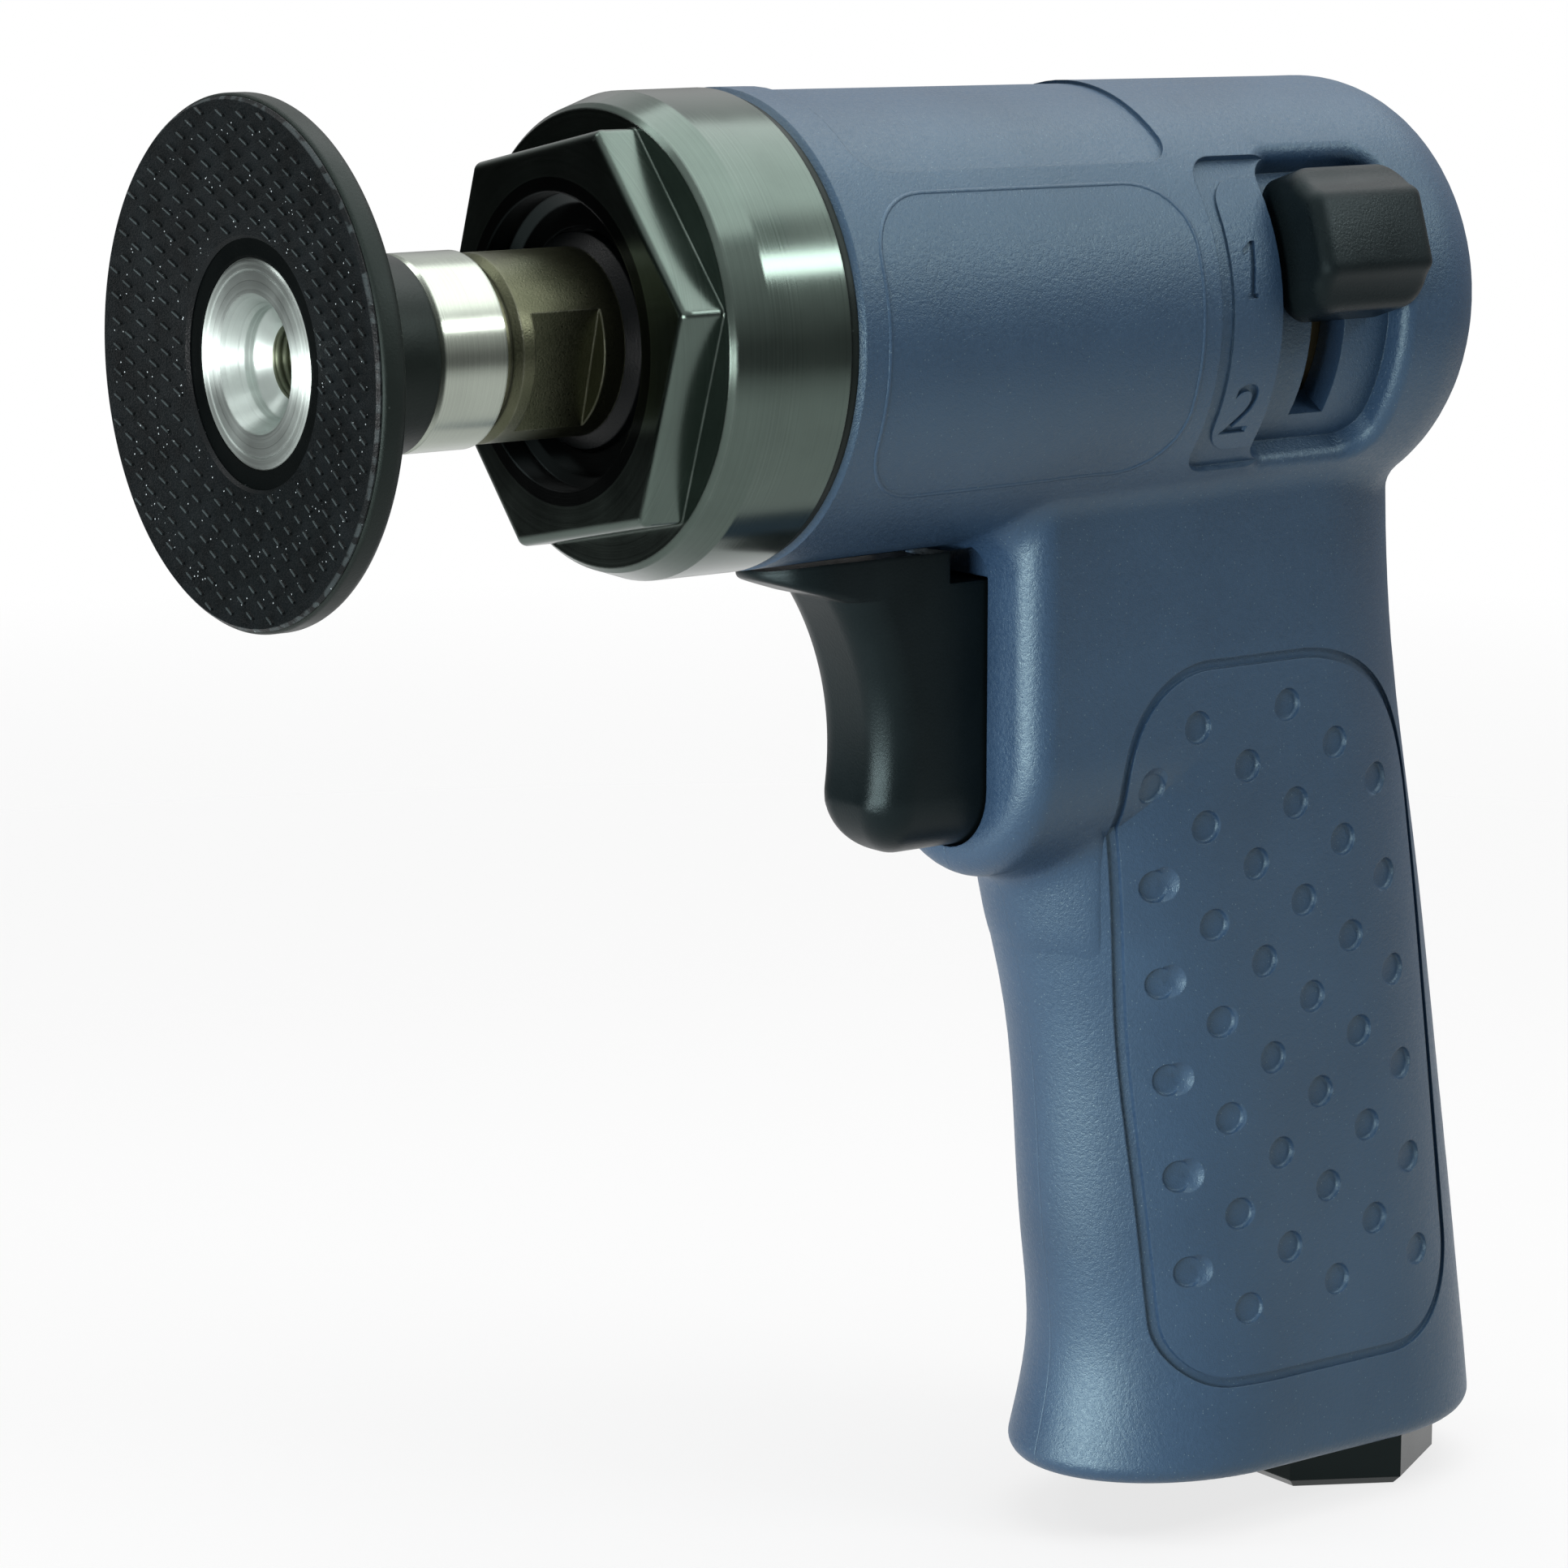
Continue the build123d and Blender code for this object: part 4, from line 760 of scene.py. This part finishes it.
# Screw threads seen in the hub and in the air inlet, fading out at both ends
def threadForm(thread, place):
    steps, fadeTurns = 48, 0.5
    count = int(thread["turns"] * steps)
    section = ((-0.48, 0.0), (-0.06, 1.0), (0.06, 1.0), (0.48, 0.0), (0.48, -0.3), (-0.48, -0.3))
    form = bmesh.new()
    rows = []
    for k in range(count + 1):
        turn = math.tau * k / steps
        fade = min(1.0, k / steps / fadeTurns, (count - k) / steps / fadeTurns)
        row = []
        for slide, rise in section:
            travel = thread["start"] + (k / steps + slide) * thread["pitch"]
            height = thread["depth"] * min(rise, fade)
            row.append(form.verts.new(place(travel, thread["reach"] - height, turn)))
        rows.append(row)
    bridge(form, rows)
    return form


def makeInletThread():
    low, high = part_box("inlet_bushing")
    middle = (low + high) / 2
    thread = {
        "pitch": 1.41 * mm,
        "reach": 5.62 * mm,
        "depth": 0.62 * mm,
        "turns": 7.5,
        "start": 1.5 * mm,
    }

    def place(travel, reach, turn):
        x, y = middle.x + reach * math.cos(turn), middle.y + reach * math.sin(turn)
        return Vector((x, y, low.z + travel))

    dress(meshObject("inlet_thread", threadForm(thread, place)), "black_oxide", "housing")


def makeHubThread():
    thread = {
        "pitch": 0.8 * mm,
        "reach": 3.62 * mm,
        "depth": 0.14 * mm,
        "turns": 4,
        "start": 7.0 * mm,
    }
    dress(meshObject("hub_thread", threadForm(thread, spun)), "turned_aluminium", "spindle")


# Spring of the throttle, joined into one mesh of its own and carried with the housing
def makeThrottleCoil():
    source = nodes["throttle_spring"]
    form = bmesh.new()
    form.from_mesh(source.data)
    form.transform(source.matrix_world)
    bmesh.ops.remove_doubles(form, verts=form.verts, dist=joinGap)
    obj = meshObject("throttle_coil", form)
    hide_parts("throttle_spring")
    dress(obj, slotOf["throttle_spring"], "housing")
    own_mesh(obj)


makeInletThread()
makeHubThread()
makeThrottleCoil()
print("threads and throttle spring modelled")


housingSkin = BVHTree.FromObject(nodes["housing"], bpy.context.evaluated_depsgraph_get())


# Point on the outside of the housing at a place along the barrel and a turn about it
def seat(x, turn):
    outside = spun(x, cadHigh.z * 2, turn)
    return housingSkin.ray_cast(outside, Vector((x, 0, 0)) - outside)[0]


# Solid letter laid flat, cut into bands so that it can bend round the barrel
def letterForm(text, height, lean, thickness):
    capShare, bands = 0.7, 12
    form = bmesh.new()
    if text == "1":
        stem = [(-0.09, -0.5), (0.15, -0.5), (0.15, -0.42), (0.08, -0.42), (0.08, 0.5)]
        stem += [(-0.02, 0.5), (-0.2, 0.36), (-0.2, 0.25)]
        stem += [(-0.04, 0.33), (-0.04, -0.42), (-0.09, -0.42)]
        outline = [((u + v * lean) * height, v * height) for u, v in stem]
        ends = []
        for level in (-thickness / 2, thickness / 2):
            ends.append([form.verts.new((across, up, level)) for across, up in outline])
            form.faces.new(ends[-1])
        joinRows(form, [ends])
    else:
        curve = bpy.data.curves.new("letter", "FONT")
        curve.body = text
        curve.size = height / capShare
        curve.shear = lean
        curve.align_x = "CENTER"
        curve.align_y = "CENTER"
        curve.extrude = thickness / 2
        source = bpy.data.objects.new("letter", curve)
        bpy.context.scene.collection.objects.link(source)
        shown = source.evaluated_get(bpy.context.evaluated_depsgraph_get())
        flat = bpy.data.meshes.new_from_object(shown)
        bpy.data.objects.remove(source)
        form.from_mesh(flat)
        bpy.data.meshes.remove(flat)
        bmesh.ops.remove_doubles(form, verts=form.verts, dist=joinGap)
    for k in range(1 - bands, bands):
        whole = form.verts[:] + form.edges[:] + form.faces[:]
        level = (0, k / bands * height / 2, 0)
        bmesh.ops.bisect_plane(form, geom=whole, plane_co=level, plane_no=(0, 1, 0))
    bmesh.ops.triangulate(form, faces=form.faces)
    bmesh.ops.recalc_face_normals(form, faces=form.faces)
    return form


# Takes the shape of a hidden cutter out of the shown housing
def carve(name, form):
    cutter = meshObject(name, form)
    cutter.hide_render = True
    cut = nodes["housing"].modifiers.new(name, "BOOLEAN")
    cut.operation = "DIFFERENCE"
    cut.solver = "EXACT"
    cut.object = cutter


# Numerals of the two speeds, sunk in the field beside the knob
def carveNumerals():
    numeral = {
        "height": 6.0 * mm,
        "lean": 0.14,
        "depth": 0.5 * mm,
        "clear": 0.5 * mm,
        "x": 109.1 * mm,
        "turns": {"1": math.radians(12.6), "2": math.radians(-25.8)},
    }
    thickness = numeral["depth"] + numeral["clear"]
    whole = bmesh.new()
    for text, turn in numeral["turns"].items():
        floor = seat(numeral["x"], turn)
        reach = math.hypot(floor.y, floor.z)
        form = letterForm(text, numeral["height"], numeral["lean"], thickness)
        for vert in form.verts:
            across, up, out = vert.co
            out += (numeral["clear"] - numeral["depth"]) / 2
            vert.co = spun(numeral["x"] + across, reach + out, turn + up / reach)
        bent = bpy.data.meshes.new("bent")
        form.to_mesh(bent)
        form.free()
        whole.from_mesh(bent)
        bpy.data.meshes.remove(bent)
    carve("numeral_cutter", whole)


# Point on a side of the grip, level with a place in the side view
def sidePlace(x, z, side):
    outside = Vector((x, cadLow.y * 2 * side, z))
    return housingSkin.ray_cast(outside, Vector((0, side, 0)))[0]


# Steep walls and flat floors for the dimples, wherever the lattice finds a sunk spot on a side
def carveDimples():
    dimple = {
        "start": Vector((103.8, 0, -50.5)) * mm,
        "row": Vector((1.5, 0, -11.0)) * mm,
        "column": Vector((7.1, 0, -4.9)) * mm,
        "tries": 10,
        "panel": ((97.5, -37.2), (142.4, -37.2), (151.5, -119.1), (108.5, -119.1)),
        "margin": 3.9 * mm,
        "around": 2.4 * mm,
        "least": 0.3 * mm,
        "section": (
            (1.42, -0.14),
            (1.58, -0.1),
            (1.70, 0.03),
            (1.77, 0.2),
            (1.84, 0.5),
            (1.95, 1.2),
        ),
        "steps": 28,
    }
    outline = [Vector(corner) * mm for corner in dimple["panel"]]
    form = bmesh.new()
    lattice = range(-dimple["tries"], dimple["tries"] + 1)
    for side, column, row in [(s, c, r) for s in (1, -1) for c in lattice for r in lattice]:
        middle = dimple["start"] + dimple["column"] * column + dimple["row"] * row
        x, z, around = middle.x, middle.z, dimple["around"]
        spots = [(x - around, z), (x + around, z), (x, z - around), (x, z + around), (x, z)]
        places = [sidePlace(spotX, spotZ, side) for spotX, spotZ in spots]
        margins = []
        for one, two in zip(outline, outline[1:] + outline[:1]):
            way, gap = (two - one).normalized(), Vector((x, z)) - one
            margins.append(way.y * gap.x - way.x * gap.y)
        if None in places or min(margins) < dimple["margin"]:
            continue
        left, right, below, above, centre = places
        if (abs(below.y) + abs(above.y)) / 2 - abs(centre.y) < dimple["least"]:
            continue
        across = (right - left).normalized()
        outward = across.cross(above - below).normalized()
        outward *= math.copysign(1, outward.y * centre.y)
        upward = outward.cross(across)
        rings = []
        for reach, rise in dimple["section"]:
            ring = []
            for k in range(dimple["steps"]):
                turn = math.tau * k / dimple["steps"]
                spoke = across * math.cos(turn) + upward * math.sin(turn)
                ring.append(form.verts.new(centre + spoke * reach * mm + outward * rise * mm))
            rings.append(ring)
        bridge(form, rings)
    print("dimples found:", len(form.verts) // (len(dimple["section"]) * dimple["steps"]))
    carve("dimple_cutter", form)


# Soft blend under the trigger rim: the corner of rim and grip, evened out and laid over it
def makeHeelBlend():
    heel = {
        "middle": Vector((108, 0, -50)) * mm,
        "side": math.radians(54),
        "low": math.radians(-62),
        "high": math.radians(-20),
        "rise": math.radians(15),
        "columns": 108,
        "rows": 44,
        "passes": 110,
        "sink": 0.03 * mm,
        "border": 0.3 * mm,
        "thick": 0.5 * mm,
        "fadeSide": 4,
        "fadeEnd": 9,
        "far": 80 * mm,
    }
    ways, reaches = [], []
    for i in range(heel["columns"] + 1):
        share = 2 * i / heel["columns"] - 1
        turn = heel["side"] * share
        top = heel["high"] + heel["rise"] * share**2
        wayRow, reachRow = [], []
        for j in range(heel["rows"] + 1):
            lift = heel["low"] + (top - heel["low"]) * j / heel["rows"]
            flat = math.cos(lift)
            way = Vector((-flat * math.cos(turn), flat * math.sin(turn), math.sin(lift)))
            place = housingSkin.ray_cast(heel["middle"] + way * heel["far"], -way)[0]
            wayRow.append(way)
            reachRow.append((place - heel["middle"]).length)
        ways.append(wayRow)
        reaches.append(reachRow)
    # Each pass keeps half of a reach and takes half from its four neighbours
    for sweep in range(heel["passes"]):
        before = [row[:] for row in reaches]
        for i in range(1, heel["columns"]):
            for j in range(1, heel["rows"]):
                beside = before[i - 1][j] + before[i + 1][j] + before[i][j - 1] + before[i][j + 1]
                reaches[i][j] = before[i][j] / 2 + beside / 8
    form = bmesh.new()
    rows = []
    for i in range(heel["columns"] + 1):
        outer, inner = [], []
        for j in range(heel["rows"] + 1):
            acrossShare = min(i, heel["columns"] - i) / heel["fadeSide"]
            alongShare = min(j, heel["rows"] - j) / heel["fadeEnd"]
            fade = max(0.0, 1 - min(acrossShare, alongShare)) ** 2
            reach = reaches[i][j] - heel["sink"] - heel["border"] * fade
            outer.append(form.verts.new(heel["middle"] + ways[i][j] * reach))
            inner.append(form.verts.new(heel["middle"] + ways[i][j] * (reach - heel["thick"])))
        rows.append(outer + inner[::-1])
    bridge(form, rows)
    dress(meshObject("heel_blend", form, sharp=60), "housing_composite", "housing")


# Points on the straight run between the ends of two arcs
def straight(start, end, stride):
    start, gap = Vector(start), Vector(end) - Vector(start)
    count = int(gap.length / stride)
    return [tuple(start + gap * (n / count)) for n in range(1, count)]


# Faint raised line round the bare panel on the side of the barrel
def makePanelLine():
    panel = {
        "front": 60.2 * mm,
        "back": 101.6 * mm,
        "low": math.radians(-40.5),
        "high": math.radians(37),
        "corner": 7.5 * mm,
        "barrel": 24.0 * mm,
        "steps": 10,
        "stride": 1.0 * mm,
        "wide": 0.3 * mm,
        "tall": 0.13 * mm,
        "sunk": 0.29 * mm,
        "foot": 1.4,
        "shoulder": 0.6,
        "shoulderTall": 0.7,
    }
    low, high = panel["low"] * panel["barrel"], panel["high"] * panel["barrel"]
    front, back = panel["front"], panel["back"]
    corners = [(front, low), (back, low), (back, high), (front, high)]
    route = []
    for k, corner in enumerate(corners):
        following = corners[(k + 1) % len(corners)]
        arc = rounded(corners[k - 1], corner, following, panel["corner"], panel["steps"])
        if route:
            route += straight(route[-1], arc[0], panel["stride"])
        route += arc
    route += straight(route[-1], route[0], panel["stride"])
    places = [seat(x, drop / panel["barrel"]) for x, drop in route]
    foot, shoulder, sunk, tall = panel["foot"], panel["shoulder"], panel["sunk"], panel["tall"]
    shoulderTall = tall * panel["shoulderTall"]
    section = [(-foot, -sunk), (-shoulder, shoulderTall), (0, tall)]
    section += [(shoulder, shoulderTall), (foot, -sunk)]
    form = bmesh.new()
    rows = []
    for k, place in enumerate(places):
        outward = Vector((0, place.y, place.z)).normalized()
        ahead = (places[(k + 1) % len(places)] - places[k - 1]).normalized()
        side = outward.cross(ahead).normalized()
        points = [place + side * u * panel["wide"] + outward * v for u, v in section]
        rows.append([form.verts.new(point) for point in points])
    bridgeRound(form, rows)
    dress(meshObject("panel_line", form, sharp=60), "housing_composite", "housing")


carveNumerals()
carveDimples()
makeHeelBlend()
makePanelLine()
for node in nodes.values():
    keepCorners(node)
print("numerals, dimples, heel blend and panel line modelled")


def blendShaders(tree, amount, first, second):
    inputs = {0: amount, 1: first.outputs[0], 2: second.outputs[0]}
    return put(tree, "ShaderNodeMixShader", inputs)


# Pale floor, partly lit by itself, that fades into the white around it
def makeFloor():
    floor = {
        "reach": 0.75,
        "clear": 0.28,
        "fadeShare": 0.97,
        "colour": 0.92,
        "rough": 0.9,
        "ownLight": 0.76,
    }
    form = bmesh.new()
    bmesh.ops.create_grid(form, x_segments=1, y_segments=1, size=floor["reach"])
    obj = meshObject("floor", form)
    centre = (cadLow + cadHigh) / 2
    obj.location = (centre.x, centre.y, cadLow.z)
    material, tree, shader = newLook("floor")
    feed(tree, shader, Base_Color=(floor["colour"],) * 3 + (1,), Roughness=floor["rough"])
    path = put(tree, "ShaderNodeLightPath").outputs
    seen = maths(tree, "MAXIMUM", path["Is Glossy Ray"], path["Is Transmission Ray"])
    seen = maths(tree, "MAXIMUM", path["Is Camera Ray"], seen)
    glow = put(tree, "ShaderNodeEmission", {"Strength": seen})
    lit = blendShaders(tree, floor["ownLight"], shader, glow)
    reach = put(tree, "ShaderNodeVectorMath", {0: objectPoint(tree)}, operation="LENGTH")
    fade = remap(tree, reach.outputs["Value"], floor["clear"], floor["reach"] * floor["fadeShare"])
    whole = blendShaders(tree, fade, lit, put(tree, "ShaderNodeBsdfTransparent"))
    tree.links.new(whole.outputs[0], tree.nodes["Material Output"].inputs["Surface"])
    obj.data.materials.append(material)


# White all round; shiny faces see it dimmer near the floor and dark at a flag ahead of the pad
def makeWorld():
    room = {
        "fill": 0.09,
        "low": 0.22,
        "lowTop": 0.55,
        "darkSide": (-0.60, 0.79, -0.12),
        "darkFrom": 0.45,
        "darkTo": 0.88,
        "dim": 0.1,
    }
    world = bpy.data.worlds.new("studio")
    bpy.context.scene.world = world
    world.use_nodes = True
    tree = world.node_tree
    background = tree.nodes["Background"]
    path = put(tree, "ShaderNodeLightPath").outputs
    way = put(tree, "ShaderNodeTexCoord").outputs["Generated"]
    ways = {0: way, 1: room["darkSide"]}
    facing = put(tree, "ShaderNodeVectorMath", ways, operation="DOT_PRODUCT")
    flag = remap(tree, facing.outputs["Value"], room["darkFrom"], room["darkTo"], 1.0, room["dim"])
    rise = coordinate(tree, way, "Z")
    dimmed = remap(tree, rise, 0.0, room["lowTop"], room["low"], 1.0)
    mirrored = maths(tree, "MULTIPLY", flag, dimmed)
    mirrored = maths(tree, "MULTIPLY", mirrored, path["Is Glossy Ray"])
    shown = maths(tree, "MAXIMUM", path["Is Camera Ray"], path["Is Transmission Ray"])
    lit = maths(tree, "MULTIPLY", path["Is Diffuse Ray"], room["fill"])
    strength = maths(tree, "MAXIMUM", maths(tree, "MAXIMUM", shown, mirrored), lit)
    tree.links.new(strength, background.inputs["Strength"])
    background.inputs["Color"].default_value = (1, 1, 1, 1)


def makeLamp(name, lamp):
    data = bpy.data.lights.new(name, "AREA")
    data.shape = "RECTANGLE"
    data.size, data.size_y = lamp["size"]
    data.energy = lamp["power"]
    obj = bpy.data.objects.new(name, data)
    place, target = Vector(lamp["place"]), Vector(lamp["target"])
    obj.location = place
    obj.rotation_euler = (target - place).to_track_quat("-Z", "Y").to_euler()
    bpy.context.scene.collection.objects.link(obj)


def makeCamera():
    shot = {
        "place": (-0.2445, -0.4161, 0.0511),
        "azimuth": math.radians(-36.67),
        "elevation": math.radians(10.79),
        "lens": 116.44,
        "sensor": 36.0,
        "clip": (0.01, 10),
    }
    azimuth, elevation = shot["azimuth"], shot["elevation"]
    flat = math.cos(elevation)
    back = Vector((math.sin(azimuth) * flat, -math.cos(azimuth) * flat, math.sin(elevation)))
    right = Vector((math.cos(azimuth), math.sin(azimuth), 0))
    up = back.cross(right)
    data = bpy.data.cameras.new("camera")
    data.lens, data.sensor_width = shot["lens"], shot["sensor"]
    data.clip_start, data.clip_end = shot["clip"]
    obj = bpy.data.objects.new("camera", data)
    turned = Matrix((right, up, back)).transposed().to_4x4()
    obj.matrix_world = Matrix.Translation(shot["place"]) @ turned
    bpy.context.scene.collection.objects.link(obj)
    bpy.context.scene.camera = obj


lamps = {
    "top_box": {
        "place": (0.20, -0.06, 0.62),
        "target": (0.08, 0, -0.03),
        "size": (1.0, 0.8),
        "power": 5.6,
    },
    "right_box": {
        "place": (0.41, -0.41, 0.29),
        "target": (0.045, 0, 0),
        "size": (0.22, 0.08),
        "power": 0.8,
    },
    "left_box": {
        "place": (-0.57, -0.08, -0.075),
        "target": (0.09, 0, -0.06),
        "size": (0.6, 0.12),
        "power": 6.5,
    },
    "back_box": {
        "place": (-0.30, 0.27, 0.50),
        "target": (0, 0, 0),
        "size": (0.2, 0.2),
        "power": 0.6,
    },
}
makeFloor()
makeWorld()
for lampName, lamp in lamps.items():
    makeLamp(lampName, lamp)
makeCamera()
bpy.context.scene.view_settings.view_transform = "Standard"
print("studio set")
